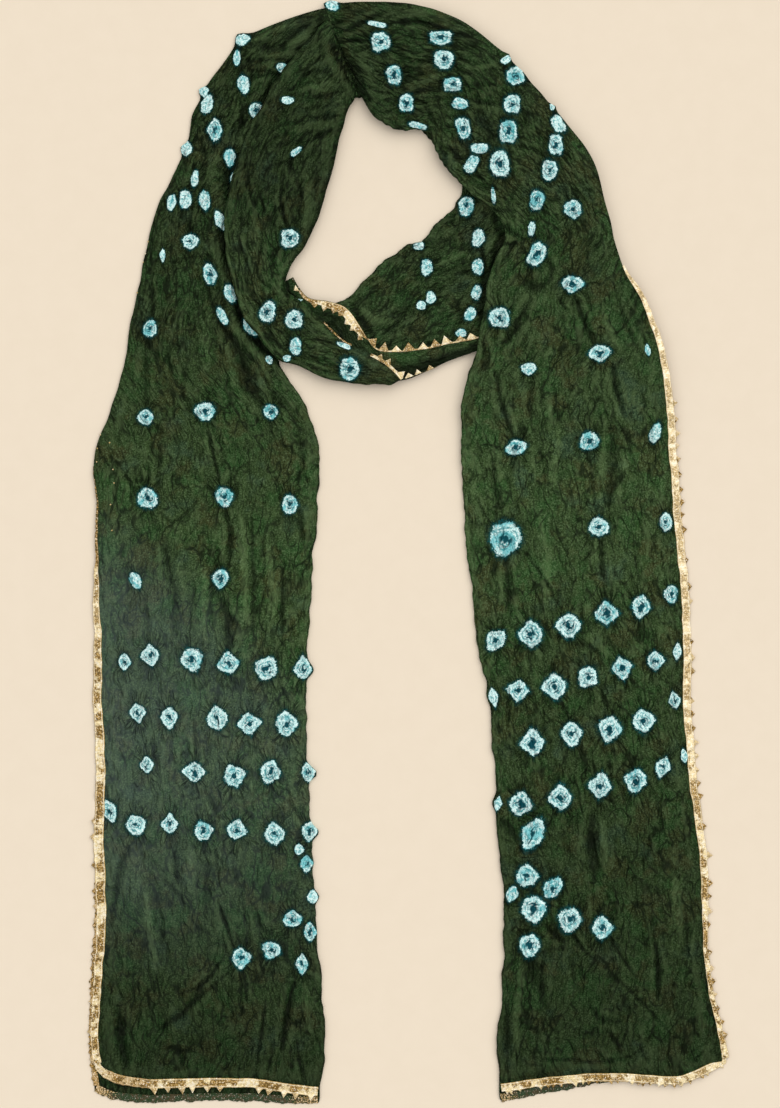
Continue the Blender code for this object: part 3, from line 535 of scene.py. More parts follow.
def blur(values, reach):
    """Values on a grid, averaged twice over a square of 2 * reach + 1 cells."""
    for _ in range(2):
        for axis in (0, 1):
            pad = [(reach + 1, reach) if a == axis else (0, 0) for a in (0, 1)]
            total = np.cumsum(np.pad(values, pad, mode="edge"), axis=axis)
            count = values.shape[axis]
            ends = np.take(total, np.arange(count) + 2 * reach + 1, axis=axis)
            values = (ends - np.take(total, np.arange(count), axis=axis)) / (2 * reach + 1)
    return values


def lengths(line):
    """The lengths of a line's segments, and how far along it each of its points is."""
    steps = np.linalg.norm(np.diff(line, axis=0), axis=1)
    return steps, np.concatenate(([0.0], np.cumsum(steps)))


def smooth_rows(rows, level, pitch):
    """Rows about a pitch apart, on a smooth curve through the given ones, and their places."""
    table = np.array([row + (level, 0)[len(row) - 4 :] for row in rows], float)
    steps, along = lengths((table[:, 0:2] + table[:, 2:4]) / 2)
    slopes = np.gradient(table, along, axis=0)
    place = np.linspace(0, along[-1], round(along[-1] / pitch) + 1)
    i = np.clip(np.searchsorted(along, place, side="right") - 1, 0, len(steps) - 1)
    t = ((place - along[i]) / steps[i])[:, None]
    found = (1 + 2 * t) * (1 - t) ** 2 * table[i] + t * t * (3 - 2 * t) * table[i + 1]
    turn = t * (1 - t) ** 2 * slopes[i] - t * t * (1 - t) * slopes[i + 1]
    found += turn * steps[i][:, None]
    found[:, 4:] = np.maximum(found[:, 4:], 0)
    return found, place


def grid_faces(rows, columns):
    """The quads of a grid of points, row after row."""
    index = np.arange(rows * columns).reshape(rows, columns)
    quads = (index[:-1, :-1], index[:-1, 1:], index[1:, 1:], index[1:, :-1])
    return np.stack([quad.ravel() for quad in quads], axis=1).tolist()


def link(made):
    """Puts an object in the scene."""
    bpy.context.scene.collection.objects.link(made)
    return made


def add_object(name, points, faces, look, values, smooth):
    """A piece from points in millimetres on the board, with values held at its points."""
    points = np.array(points, float)
    points[:, 0:2] += SHIFT
    data = bpy.data.meshes.new(name)
    data.from_pydata((points * MM).tolist(), [], faces)
    for key, held in values.items():
        layer = data.attributes.new(key, "FLOAT_VECTOR", "POINT")
        layer.data.foreach_set("vector", np.asarray(held, np.float32).ravel())
    data.polygons.foreach_set("use_smooth", [smooth] * len(data.polygons))
    data.materials.append(look)
    made = link(bpy.data.objects.new(name, data))
    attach(made, "root")
    return made


def silk_piece(name, nodes, points, values, look):
    """A sheet of silk as a piece, from its grid of points and grids of the values held at them."""
    held = {key: np.stack(parts, axis=2).reshape(-1, 3) for key, parts in values.items()}
    faces = grid_faces(*points.shape[:2])
    made = add_object(name, points.reshape(-1, 3), faces, look, held, smooth=True)
    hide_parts(*nodes)


def gota_piece(name, node, points, faces, values, look):
    made = add_object(name, points, faces, look, {"gota": values}, smooth=False)
    if node:
        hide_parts(node)


# ---- Cloth -----------------------------------------------

Dot = namedtuple("Dot", "x y half_w half_h tilt blue square number")
Sheet = namedtuple("Sheet", "rows place width side across lean rise share x y height u v front flat")


def crinkle(u, v, seed, crush=1.0):
    """Long uneven creases that run along the cloth, sharp below and above by turns."""
    bent_u = u + 5 * noise(u / 34, v / 60, seed) + 1.6 * noise(u / 9, v / 16, seed + 1)
    bent_v = v + 16 * noise(u / 22, v / 40, seed + 2)
    total = 0.0
    for k, (wide, long, height) in enumerate(CRINKLES):
        if k >= len(CRINKLES) - CRUSHED_CRINKLES:
            height = height * crush
        lean = 0.35 * noise(u / 60, v / 90, seed + 10 + k)
        n = noise((bent_u + lean * bent_v * 0.12) / wide, bent_v / long, seed + 20 + k)
        total = total + height * (np.abs(n) - 0.33)
    patch = 0.72 + 0.5 * noise(u / 45, v / 70, seed + 40)
    return total * patch


def from_line(points, x, y):
    """How far points of a sheet are from a line of pixels, and how far along it from 0 to 1."""
    line = np.array([board(*point) for point in points])
    steps, before = lengths(line)
    nearest, along = np.full(x.shape, 1e9), np.zeros_like(x)
    for k, (start, end) in enumerate(zip(line[:-1], line[1:])):
        way = (end - start) / steps[k]
        t = np.clip((x - start[0]) * way[0] + (y - start[1]) * way[1], 0, steps[k])
        far = np.hypot(x - start[0] - t * way[0], y - start[1] - t * way[1])
        closer = far < nearest
        nearest = np.where(closer, far, nearest)
        along = np.where(closer, (before[k] + t) / before[-1], along)
    return nearest, along


def hand_creases(creases, x, y):
    """The height that the listed creases add, and how dark or light they make the cloth."""
    # Along each furrow the cloth gets painted shade, and along its lips and along ridges a painted
    # highlight.
    height, painted_crease_shade = np.zeros_like(x), np.zeros_like(x)
    uneven = 0.7 * noise(x / 7, y / 7, 5)
    for strength, half, *points in creases:
        xs, ys = zip(*(board(*point) for point in points))
        mask = (x > min(xs) - CREASE_REACH) & (x < max(xs) + CREASE_REACH)
        mask &= (y > min(ys) - CREASE_REACH) & (y < max(ys) + CREASE_REACH)
        if not mask.any():
            continue
        far, along = from_line(points, x[mask], y[mask])
        taper = np.sqrt(np.sin(math.pi * np.clip(along, 0.03, 0.97)))
        width = half * PX * (0.45 + 0.55 * taper)
        shape = bump(far + uneven[mask] * min(1, half / 5), width) * (0.4 + 0.6 * taper)
        lip = bump(far - 2.0 * width, width) * taper
        deep = min(2.6, 0.9 + 0.28 * half)
        height[mask] -= strength * deep * (shape - 0.30 * lip)
        painted_crease_shade[mask] += strength * (shape - 0.18 * lip) * (1 - np.maximum(painted_crease_shade[mask], 0))
    return height, painted_crease_shade


def dot_list(groups):
    """Every dot, with its place and half sizes on the board."""
    found = []
    for wide, tall, blue, square, dots in groups:
        usual = (0, 0, wide, tall, 0)
        for dot in dots:
            x, y, w, h, tilt = dot + usual[len(dot) :]
            number = x * 31 + y * 17
            size, sway = (1.06 * DOT_SCALE, 12) if square < 1.5 else (DOT_SCALE, 0)
            size *= 0.93 if square > 2 else 1.0
            half_w, half_h = w * size * PX / 2, h * size * PX / 2
            turn = math.radians(tilt + sway * math.sin(number))
            found.append(Dot(*board(x, y), half_w, half_h, turn, blue, square, number))
    return found


def within_dot(dot, dx, dy, angle):
    """Where points lie across and along a dot, and how far out, each in its own half sizes."""
    p = (dx * math.cos(dot.tilt) + dy * math.sin(dot.tilt)) / dot.half_w
    q = (dy * math.cos(dot.tilt) - dx * math.sin(dot.tilt)) / dot.half_h
    uneven = 1 + 0.06 * np.sin(angle + dot.number) + 0.05 * np.sin(3 * angle + 2.3 * dot.number)
    power = dot.square * (1 + 0.14 * math.sin(dot.number * 0.7))
    return p, q, (np.abs(p) ** power + np.abs(q) ** power) ** (1 / power) / uneven


def pucker(dot, r, d, angle, lengthwise):
    """How strongly creases run out from a dot, mostly lengthwise, and the dot's whole relief."""
    size = math.sqrt(dot.half_w * dot.half_h)
    tied = 0.8 * (1 - ease(d, 0.5, 1.2)) - 0.8 * bump(d, 0.3)
    moat = -0.4 * bump(d - 1.4, 0.25)
    wave = np.cos(5 * angle + dot.number) * 0.5 + np.cos(9 * angle + 2 * dot.number) * 0.5
    reach = bump(np.maximum(0, r - size - 1), 11) * (0.2 + 0.8 * np.cos(angle - lengthwise) ** 2)
    reach = reach * min(1, size / 7)
    return reach, (tied + moat) * min(1, size / 6) + 0.6 * wave * reach * ease(d, 1.0, 1.5)


def tie_dots(groups, x, y, lengthwise):
    """What the dots do to a sheet: their relief, the distance to the nearest one in dot sizes, the
    place within it with a number for it, its blueness, and how strongly creases run out from it.

    The dots too small or too narrow for rings and a middle are numbered below 0.
    """
    near, second = np.full(x.shape, FAR), np.full(x.shape, FAR)
    inside = np.zeros((*x.shape, 3))
    blueness, rays, raised = np.zeros_like(x), np.zeros_like(x), np.zeros_like(x)
    for dot in dot_list(groups):
        mask = (np.abs(x - dot.x) < DOT_REACH) & (np.abs(y - dot.y) < DOT_REACH)
        if not mask.any():
            continue
        dx, dy = x[mask] - dot.x, y[mask] - dot.y
        angle = np.arctan2(dy, dx)
        p, q, d = within_dot(dot, dx, dy, angle)
        closer = d < near[mask]
        second[mask] = np.minimum(second[mask], np.maximum(d, near[mask]))
        near[mask] = np.where(closer, d, near[mask])
        tone = dot.blue + 0.22 * math.sin(dot.number * 1.7)
        blueness[mask] = np.where(closer, tone, blueness[mask])
        shown = 1 + dot.number % 97
        if min(dot.half_w, dot.half_h) <= SMALLEST_MARKED:
            shown = -shown
        values = np.stack([p, q, np.full_like(p, shown)], axis=1)
        inside[mask] = np.where(closer[:, None], values, inside[mask])
        reach, relief = pucker(dot, np.hypot(dx, dy), d, angle, lengthwise[mask])
        rays[mask] = np.maximum(rays[mask], reach)
        raised[mask] += relief
    rays = rays * ease(second - near, 0.05, 0.7) * (0.15 + 0.85 * ease(near, 0.9, 1.2))
    return near, inside, blueness, rays, raised


def wrap(cloth):
    """The sheet's base points, the way each may move, and its coordinates as a flat cloth."""
    rows, place = smooth_rows(cloth.rows, cloth.level, CELL_ALONG)
    start, end = rows[:, 0:2], rows[:, 2:4]
    width = np.linalg.norm(end - start, axis=1)
    side = (end - start) / width[:, None]
    radius = (FRONT_Z - BACK_Z) / 2
    flat = width + FOLD_OUT - radius
    deep = flat[:, None]

    # Columns run over the front ply, round the fold and back over the back ply.
    front = np.linspace(0, 1, round(flat.max() / CELL_ACROSS) + 1)
    turn = np.linspace(math.pi / 2, -math.pi / 2, FOLD_COLUMNS + 2)[1:-1]
    back = np.linspace(1, 0, round(flat.max() / BACK_CELL) + 1)
    behind = deep * back - rows[:, 5:6] * (1 - back)
    across = np.concatenate([deep * front, deep + radius * np.cos(turn), behind], axis=1)
    around = radius * (math.pi / 2 - turn)
    past_fold = around[-1] + radius * 0.3 + deep * (1 - back)
    u = np.concatenate([-deep * (1 - front), np.tile(around, (len(rows), 1)), past_fold], axis=1)
    lean = np.concatenate([np.zeros_like(front), np.cos(turn), np.zeros_like(back)])
    rise = np.concatenate([np.ones_like(front), np.sin(turn), -np.ones_like(back)])

    height = rows[:, 4:5] * LEVEL + (FRONT_Z + BACK_Z) / 2 + radius * rise
    share = np.clip(across / width[:, None], 0, 1)
    drop = read(cloth.hem, share) + (1 - rise) / 2 * read(cloth.hem_peek, share)
    near_hem = np.maximum(0, 1 - place / HEM_REACH) ** 2
    x = start[:, 0:1] + side[:, 0:1] * across
    y = start[:, 1:2] + side[:, 1:2] * across - drop * near_hem[:, None]
    v = np.tile(place[:, None], (1, u.shape[1]))
    return Sheet(
        rows, place, width, side, across, lean, rise, share, x, y, height, u, v, len(front), flat
    )


def edge_bulges(cloth, sheet):
    """How far the dots tied at a sheet's edge and at its fold push them out, along the sheet."""
    at_edge, at_fold = np.zeros(len(sheet.place)), np.zeros(len(sheet.place))
    rows, side, place = sheet.rows, sheet.side, sheet.place
    for dot in dot_list(cloth.dots):
        dx, dy = dot.x - rows[:, 0], dot.y - rows[:, 1]
        off = np.abs(dx * side[:, 1] - dy * side[:, 0])
        k = int(np.argmin(off))
        if off[k] >= BULGE_ROW:
            continue
        across = dx[k] * side[k, 0] + dy[k] * side[k, 1]
        turn = math.atan2(side[k, 1], side[k, 0]) - dot.tilt
        reach = math.hypot(dot.half_w * math.cos(turn), dot.half_h * math.sin(turn))
        long = math.hypot(dot.half_w * math.sin(turn), dot.half_h * math.cos(turn))
        shape = bump(place - place[k], 0.62 * long + 0.6)
        if -reach < across < reach:
            at_edge = np.maximum(at_edge, (reach - across + 0.3) * shape)
        if -reach < sheet.width[k] - across < reach:
            at_fold = np.maximum(at_fold, (reach - (sheet.width[k] - across) + 0.3) * shape)
    return np.minimum(at_edge, MOST_BULGE)[:, None], np.minimum(at_fold, MOST_BULGE)[:, None]


def slid(sheet, x, y, slide):
    """Points moved across the sheet."""
    return x + sheet.side[:, 0:1] * slide, y + sheet.side[:, 1:2] * slide


def wavy_edges(cloth, sheet):
    """The sheet's points with its open edge and its fold uneven, and its dots bulging out there."""
    at_edge, at_fold = edge_bulges(cloth, sheet)
    v, wide = sheet.v, sheet.width[:, None]
    waves = 1.3 * wobble(v, 17, cloth.seed + 60) + 0.7 * wobble(v, 6, cloth.seed + 61)
    slide = (waves + at_fold) * ease(sheet.across, wide - WAVY_FOLD, wide)
    waves = 0.7 * wobble(v, 12, cloth.seed + 62)
    slide = slide + (waves - at_edge) * (1 - ease(sheet.across, 0, WAVY_EDGE))
    return slid(sheet, sheet.x, sheet.y, slide)


def relief(cloth, sheet, furrows, tied, on_front):
    """How far each point moves out of the sheet."""
    v, across = sheet.v, sheet.across
    tight = (sheet.u.max(axis=1) - sheet.u.min(axis=1)) / 2
    narrow = (150 / np.maximum(tight, 60)) ** 0.55
    quiet = 0.3 + 0.7 * ease(across, 1, 12)
    quiet = quiet * (0.35 + 0.65 * ease(v, 1, 14))
    middle = np.sin(math.pi * np.clip(across / sheet.flat[:, None], 0, 1))
    loft = cloth.loft * np.sqrt(np.abs(middle))
    creased = crinkle(sheet.u * narrow[:, None], v, cloth.seed, read(cloth.crush, v))
    moved = quiet * creased + furrows + tied
    moved = moved * (0.35 + 0.65 * on_front) + loft * on_front
    # On the back the sheet keeps off the floor.
    return np.where(sheet.rise[None, :] < 0, np.clip(moved * 0.5, -0.5, 0.35), moved)


def heights(cloth, sheet, moved, on_front):
    """The points' heights, with the open edge and the hem let down."""
    reach, fall = cloth.edge
    sunk = fall * (1 - ease(sheet.across, 0, reach)) * on_front
    sunk = sunk + 1.2 * (1 - ease(sheet.v, 0, 9)) * on_front * (cloth.hem is not PLAIN)
    z = sheet.height + moved * sheet.rise - sunk
    if cloth.covered:
        pressed = LAYER_TOP - np.log1p(np.exp((LAYER_TOP - z) * LAYER_SHARPNESS)) / LAYER_SHARPNESS
        z = np.where(on_front > 0.5, pressed, z)
        z = np.where(on_front > 0.5, np.maximum(z, COVERED_LOWEST), z)
    return z


def cloth_points(cloth, sheet):
    """The sheet's points once its creases, crinkles and dots are in, and the values at them."""
    x, y = wavy_edges(cloth, sheet)
    way = np.arctan2(sheet.side[:, 1], sheet.side[:, 0])[:, None] + math.pi / 2
    near, inside, blueness, rays, tied = tie_dots(cloth.dots, x, y, np.broadcast_to(way, x.shape))
    furrows, painted_crease_shade = hand_creases(cloth.creases, x, y)
    on_front = ease(sheet.rise, -0.2, 0.9)[None, :]
    moved = relief(cloth, sheet, furrows, tied, on_front)
    z = heights(cloth, sheet, moved, on_front)
    x, y = slid(sheet, x, y, moved * sheet.lean[None, :])

    v, share, front = sheet.v, sheet.share, sheet.front
    # How far each point of the front lies below or above its neighbours; the silk paints this as shade in
    # hollows and a highlight on ridges.
    crease_shading = np.zeros_like(z)
    crease_shading[:, :front] = ((z - blur(z, 3)) * 0.9 + (z - blur(z, 9)) * 0.35)[:, :front]
    # The brightness along the stretch, darkened by the creases' painted shade and lightened by their
    # painted highlight.
    shade = read(cloth.shade, v) * (1 - 0.85 * np.clip(painted_crease_shade * on_front, -0.45, 1))
    # The painted sheen fades across the stretch and further up it.
    haze = read(cloth.haze, v) * (1 - 0.55 * share) * (1 - ease(v + 150 * share, 390, 480))
    values = {
        "cloth": (sheet.u * 0.1 + cloth.seed, v * 0.1, read(cloth.crush, v) - 1),
        "dot": np.moveaxis(inside, 2, 0),
        "tone": (near, crease_shading, blueness),
        "light": (shade, haze, rays * on_front),
    }
    return np.stack([x, y, z], axis=2), values


def settle(cloth, sheet, points):
    """Lets the ends that meet at the top of the turn run into each other."""
    from_end = sheet.v.max() - sheet.v
    upper = ease(sheet.rise[None, :], -0.5, 0.5)
    if cloth.name == "silk_right":
        let_in = (1 - ease(from_end, 0, LET_IN)) * (1 - ease(sheet.share, 0.25, 0.6))
        points[:, :, 2] -= (let_in * 5.0 + (1 - ease(from_end, 0, 5)) * 1.6) * upper
        points[:, :, 2] -= let_in * 2.0 * (1 - upper)
    if cloth.name == "silk_band":
        points[:, :, 2] -= (1 - ease(from_end, 0, 12)) * 2.0 * upper


def make_cloth(cloth, look):
    """One stretch of silk as a piece; returns its grid of points and the columns of its front."""
    sheet = wrap(cloth)
    points, values = cloth_points(cloth, sheet)
    settle(cloth, sheet, points)
    points[:, :, 2] = np.maximum(points[:, :, 2], FLOOR_GAP)
    silk_piece(cloth.name, cloth.nodes, points, values, look)
    return points, sheet.front


def make_chin(look):
    """The single ply at the chin, whose lower side dips down towards the fold and is darkened there with
    painted shade.
    """
    rows, place = smooth_rows(CHIN_ROWS, 1, CHIN_CELL)
    share = np.linspace(0, 1, CHIN_COLUMNS)
    x = rows[:, 0:1] * (1 - share) + rows[:, 2:3] * share
    y = rows[:, 1:2] * (1 - share) + rows[:, 3:4] * share
    v = np.tile(place[:, None], (1, len(share)))
    u = share * np.hypot(rows[:, 0] - rows[:, 2], rows[:, 1] - rows[:, 3])[:, None]
    z = CHIN_Z + 0.5 * crinkle(u + 11, v, CHIN_SEED) * ease(u, 0, 5)
    z = np.clip(z - 0.5 * ease(share, 0.5, 0.8)[None, :], CHIN_LOWEST, CHIN_HIGHEST)
    # Lower across the ply, the crease value and the brightness fall, as painted shade towards the fold.
    crease_shading = z - blur(z, 3) - 0.8 * ease(share, 0.4, 0.75)[None, :]
    shaded = ease(share[None, :] + 0.2 * ease(v, 88, 112), 0.3, 0.6)
    points, none = np.stack([x, y, z], axis=2), 0 * u
    values = {
        "cloth": (u * 0.1 + CHIN_SEED, v * 0.1, none),
        "dot": (none, none, none),
        "tone": (none + FAR, crease_shading, none),
        "light": (0.82 - 0.48 * shaded, none, none),
    }
    silk_piece("silk_chin", ("chin_back_ply",), points, values, look)
    return points


# ---- Gota tape -------------------------------------------


def follow(line, along, place):
    """A line's points at some places along it."""
    return np.stack([np.interp(place, along, line[:, k]) for k in range(line.shape[1])], axis=1)


def tape_course(tape, edge, inside):
    """Places along a tape, the edge there, the level way out of the cloth, and the tape's fall."""
    _, along = lengths(edge[:, :2])
    along -= along[tape.lead]
    start, stop = tape.span[0], min(tape.span[1], along[-1])
    place = np.linspace(start, stop, max(2, round((stop - start) / TAPE_STEP)) + 1)
    line = follow(edge, along, place)
    into = follow(inside, along, place) - line
    fall = -0.9 * tape.facing * into[:, 2] / np.hypot(into[:, 0], into[:, 1])
    way = follow(edge, along, place + 5) - follow(edge, along, place - 5)
    out = np.stack([way[:, 1], -way[:, 0], 0 * place], axis=1)
    out = out / np.hypot(way[:, 0], way[:, 1])[:, None]
    out *= -tape.facing * np.sign(np.sum(out * into, axis=1))[:, None]
    return place, line, out, fall


def tape_band(tape, place, line, out, fall, low, high):
    """The tape's ribbed band: its grid of points, and the values at them."""
    rib = 0.08 * np.sin(place * 2 * math.pi / RIB_PITCH)
    worn = read(tape.wear, place)
    points, values = [], []
    for share, height in TAPE_PROFILE:
        offset = low + (high - low) * share
        flat = line[:, :2] + out[:, :2] * offset[:, None]
        z = line[:, 2] + fall * offset + tape.lift + height + (rib if 0.1 < share < 0.9 else 0)
        points.append(np.column_stack([flat, z]))
        values.append(np.column_stack([place * 0.1, share + 0 * place, worn]))
    return np.stack(points, axis=1).reshape(-1, 3), np.stack(values, axis=1).reshape(-1, 3)


def tooth_points(seat, out, ahead, half, tall, jitter):
    """One tooth folded from ribbon: four facets round a raised middle, over a thin side wall."""
    left, right = seat - ahead * half, seat + ahead * half
    middle = seat + ahead * 0.4 * jitter[0]
    tip = seat + out * tall + ahead * 0.5 * jitter[1]
    peak = seat + out * tall * 0.42 + ahead * 0.3 * jitter[2]
    heights_above = (0, 0.25, 0, -0.2 + 0.15 * jitter[0], 0.75, -0.5, -0.5, -0.6)
    places = (left, middle, right, tip, peak, left, right, tip)
    return [place + np.array((0, 0, z)) for place, z in zip(places, heights_above)]


def tape_teeth(tape, place, line, out, fall, high, before):
    """A tape's teeth: points, faces that count from the points before them, and values."""
    teeth, rng = tape.teeth, np.random.default_rng(tape.seed)
    points, faces, values = [], [], []
    start = max(place[0], teeth.first) + teeth.pitch / 2
    for middle in np.arange(start, min(place[-1], teeth.last) - teeth.pitch / 3, teeth.pitch):
        jitter = rng.normal(0, 1, 6)
        if rng.random() < teeth.skipped:
            continue
        k = min(int(np.searchsorted(place, middle + 0.6 * jitter[3])), len(place) - 2)
        ahead = line[k + 1] - line[k]
        ahead = ahead / np.linalg.norm(ahead)
        raised = np.array((0, 0, fall[k] * high[k] + tape.lift + 0.15))
        seat = line[k] + out[k] * (high[k] - 0.5) + raised
        half = teeth.pitch * teeth.wide / 2 * (1 + 0.1 * jitter[4])
        tall = teeth.tall * (1 + 0.16 * jitter[5]) + 0.5
        n = before + len(points)
        points += tooth_points(seat, out[k], ahead, half, tall, jitter)
        faces += [tuple(n + corner for corner in face) for face in TOOTH_FACES]
        values += [(middle * 0.1, share, teeth.wear) for share in TOOTH_SHARES]
    return points, faces, values


def make_tape(tape, edge, inside, look):
    """A ribbed band along a cloth edge, with teeth past its far side.

    inside is a line some way into the cloth, by which the tape leans as the cloth does.
    """
    place, line, out, fall = tape_course(tape, edge, inside)
    sway = 0.3 * wobble(place, 9, tape.seed, 0.3)
    frayed = wobble(place, 2.1, tape.seed + 1, 0.3) + 0.7 * wobble(place, 5, tape.seed, 0.6)
    low = read(tape.low, place) + sway
    high = read(tape.high, place) + sway + tape.ragged * frayed
    points, values = tape_band(tape, place, line, out, fall, low, high)
    faces = grid_faces(len(place), len(TAPE_PROFILE))
    if tape.teeth:
        more, more_faces, more_values = tape_teeth(tape, place, line, out, fall, high, len(points))
        points = np.concatenate([points, np.reshape(more, (-1, 3))])
        values = np.concatenate([values, np.reshape(more_values, (-1, 3))])
        faces = faces + more_faces
    points[:, 2] = np.maximum(points[:, 2], TAPE_FLOOR_GAP)
    gota_piece(tape.name, tape.node, points, faces, values, look)


def glints(look, points):
    """Loose spangles on the left stretch near its edge."""
    cloth = points.reshape(-1, 3)
    corners, values, faces = [], [], []
    for pixel in GLINTS_PX:
        x, y = board(*pixel)
        far = np.hypot(cloth[:, 0] - x, cloth[:, 1] - y) - 0.2 * cloth[:, 2]
        near = cloth[np.argmin(far)]
        n = len(corners)
        for corner in GLINT_CORNERS:
            corners.append(near + np.array(corner))
            values.append((pixel[0] * 0.1, pixel[1] * 0.1, -0.4))
        faces += [(n + k, n + (k + 1) % 4, n + 4) for k in range(4)]
    gota_piece("gota_glints", None, corners, faces, values, look)


# ---- Node tools ------------------------------------------


def feed(node, **inputs):
    """Links or sets a node's inputs. A name's _ stands for a space, and _0 is an input's number."""
    for key, value in inputs.items():
        socket = node.inputs[int(key[1:])] if key[0] == "_" else node.inputs[key.replace("_", " ")]
        if isinstance(value, bpy.types.NodeSocket):
            node.id_data.links.new(value, socket)
        else:
            socket.default_value = value


def put(tree, kind, props=None, **inputs):
    """Adds a node and feeds it; returns its outputs."""
    made = tree.nodes.new("ShaderNode" + kind)
    for key, value in (props or {}).items():
        setattr(made, key, value)
    feed(made, **inputs)
    return made.outputs


def tree_of(*values):
    """The node tree of the first socket among some values."""
    return next(value.id_data for value in values if isinstance(value, bpy.types.NodeSocket))


def held_at_points(tree, name):
    return put(tree, "Attribute", {"attribute_name": name})["Vector"]


def split(vector):
    return put(vector.id_data, "SeparateXYZ", _0=vector)


def join(tree, x, y, z):
    return put(tree, "CombineXYZ", _0=x, _1=y, _2=z)[0]


def calc(how, a, b=0.0):
    return put(tree_of(a, b), "Math", {"operation": how}, _0=a, _1=b)[0]


def plus(a, b):
    return calc("ADD", a, b)


def times(a, *factors):
    for factor in factors:
        a = calc("MULTIPLY", a, factor)
    return a


def away_from(value, middle=0.5):
    """How far a value is from a middle one."""
    return calc("ABSOLUTE", calc("SUBTRACT", value, middle))


def centred(value, amount):
    """A value from 0 to 1 as one from minus to plus half an amount."""
    return times(calc("SUBTRACT", value, 0.5), amount)


def between(value, low, high, start=0.0, end=1.0):
    """A value read from low to high as start to end, clamped and smooth."""
    return put(
        value.id_data, "MapRange", {"interpolation_type": "SMOOTHSTEP"}, Value=value,
        From_Min=low, From_Max=high, To_Min=start, To_Max=end,
    )[0]


def blend(factor, a, b, how="MIX"):
    """Colour a as it turns to colour b; any of the three is a socket or a constant."""
    a, b = (value if isinstance(value, bpy.types.NodeSocket) else (*value, 1) for value in (a, b))
    props = {"data_type": "RGBA", "blend_type": how}
    return put(tree_of(factor, a, b), "Mix", props, _0=factor, _6=a, _7=b)[2]


def tint(colour, *layers):
    """A colour with others over it, each of them shown as a value goes from low to high."""
    for value, low, high, most, over in layers:
        colour = blend(between(value, low, high, 0, most), colour, over)
    return colour


def vector_calc(how, a, **inputs):
    return put(a.id_data, "VectorMath", {"operation": how}, _0=a, **inputs)[0]


def grain(vector, scale, detail=3.0, rough=0.55, stretch=None, output=0):
    """Noise, from coordinates that may be stretched first."""
    tree = vector.id_data
    if stretch:
        vector = put(tree, "Mapping", Vector=vector, Scale=stretch)[0]
    return put(tree, "TexNoise", Vector=vector, Scale=scale, Detail=detail, Roughness=rough)[output]


def bend(vector, scale, amount):
    """A vector pushed about by noise, so that what reads it isn't straight."""
    push = vector_calc("SUBTRACT", grain(vector, scale, 2.0, 0.5, output="Color"), _1=(0.5, 0.5, 0.5))
    return vector_calc("ADD", vector, _1=vector_calc("SCALE", push, Scale=amount))


def creases(vector, scale, stretch, lean):
    """How far noise is from its middle value, which is low along wandering creases."""
    turned = put(vector.id_data, "Mapping", Vector=vector, Rotation=(0, 0, math.radians(lean)))[0]
    return away_from(grain(turned, scale, 1.0, 0.5, (1, stretch, 1)))


def new_material(name):
    made = bpy.data.materials.new(name)
    made.use_nodes = True
    return made, made.node_tree, made.node_tree.nodes["Principled BSDF"]


# ---- Materials -------------------------------------------


def crushed_green(cloth, place):
    """The crushed cloth's colour with its painted shade and highlights, the height of its crinkles and
    the streaks that run along it.
    """
    wavy = bend(bend(cloth, 0.5, 1.0), 2.1, 0.14)
    broad = grain(cloth, 0.45, 2, 0.5)
    mottle = grain(place, 32, 3, 0.6)
    warm = grain(place, 47, 3, 0.6)
    thread_glint_and_shade = grain(place, 880, 2, 0.7)
    streak = grain(wavy, 3.0, 3, 0.6, (1, 0.30, 1))
    crushed = times(between(split(cloth)[2], 0.1, 1.0), between(streak, 0.40, 0.52, 0.4, 1.0))

    # Darker where the streaks sink in the bump and lighter where they rise, as painted shade and
    # highlight.
    green = blend(between(streak, 0.36, 0.64), (0.025, 0.049, 0.015), (0.038, 0.070, 0.022))
    # The lighter threads are a painted highlight, and the darker ones painted shade.
    green = tint(
        green,
        (mottle, 0.46, 0.62, 0.65, (0.021, 0.074, 0.018)),  # fresher green
        (warm, 0.50, 0.64, 0.60, (0.046, 0.042, 0.014)),  # brown
        (mottle, 0.44, 0.30, 0.50, (0.028, 0.062, 0.042)),  # bluish green
        (thread_glint_and_shade, 0.50, 0.66, 0.55, (0.118, 0.178, 0.085)),  # threads that catch the light
        (thread_glint_and_shade, 0.49, 0.34, 0.65, CREASE_SHADE_GREEN),
    )

    # Wandering creases of several sizes, each only in its own patches, sunk in the bump and painted dark
    # along their floors as painted shade.
    height = times(streak, 0.45)
    for scale, stretch, lean, wide, patch, dark, tall in (
        (0.45, 0.30, 7, 0.020, mottle, 0.9, 0.9),
        (0.80, 0.34, 17, 0.034, warm, 0.9, 0.8),
        (0.90, 0.34, -16, 0.034, broad, 0.9, 0.8),
        (1.70, 0.34, 4, 0.050, streak, 0.8, 0.5),
        (2.10, 0.26, -6, 0.075, crushed, 0.85, 0.5),
    ):
        away = creases(wavy, scale, stretch, lean)
        line = times(between(away, wide, 0.0), between(patch, 0.44, 0.58, 0.05, dark))
        green = blend(line, green, CREASE_SHADE_GREEN)
        height = plus(height, between(away, 0.0, 0.20, 0, tall))
    return green, height, streak


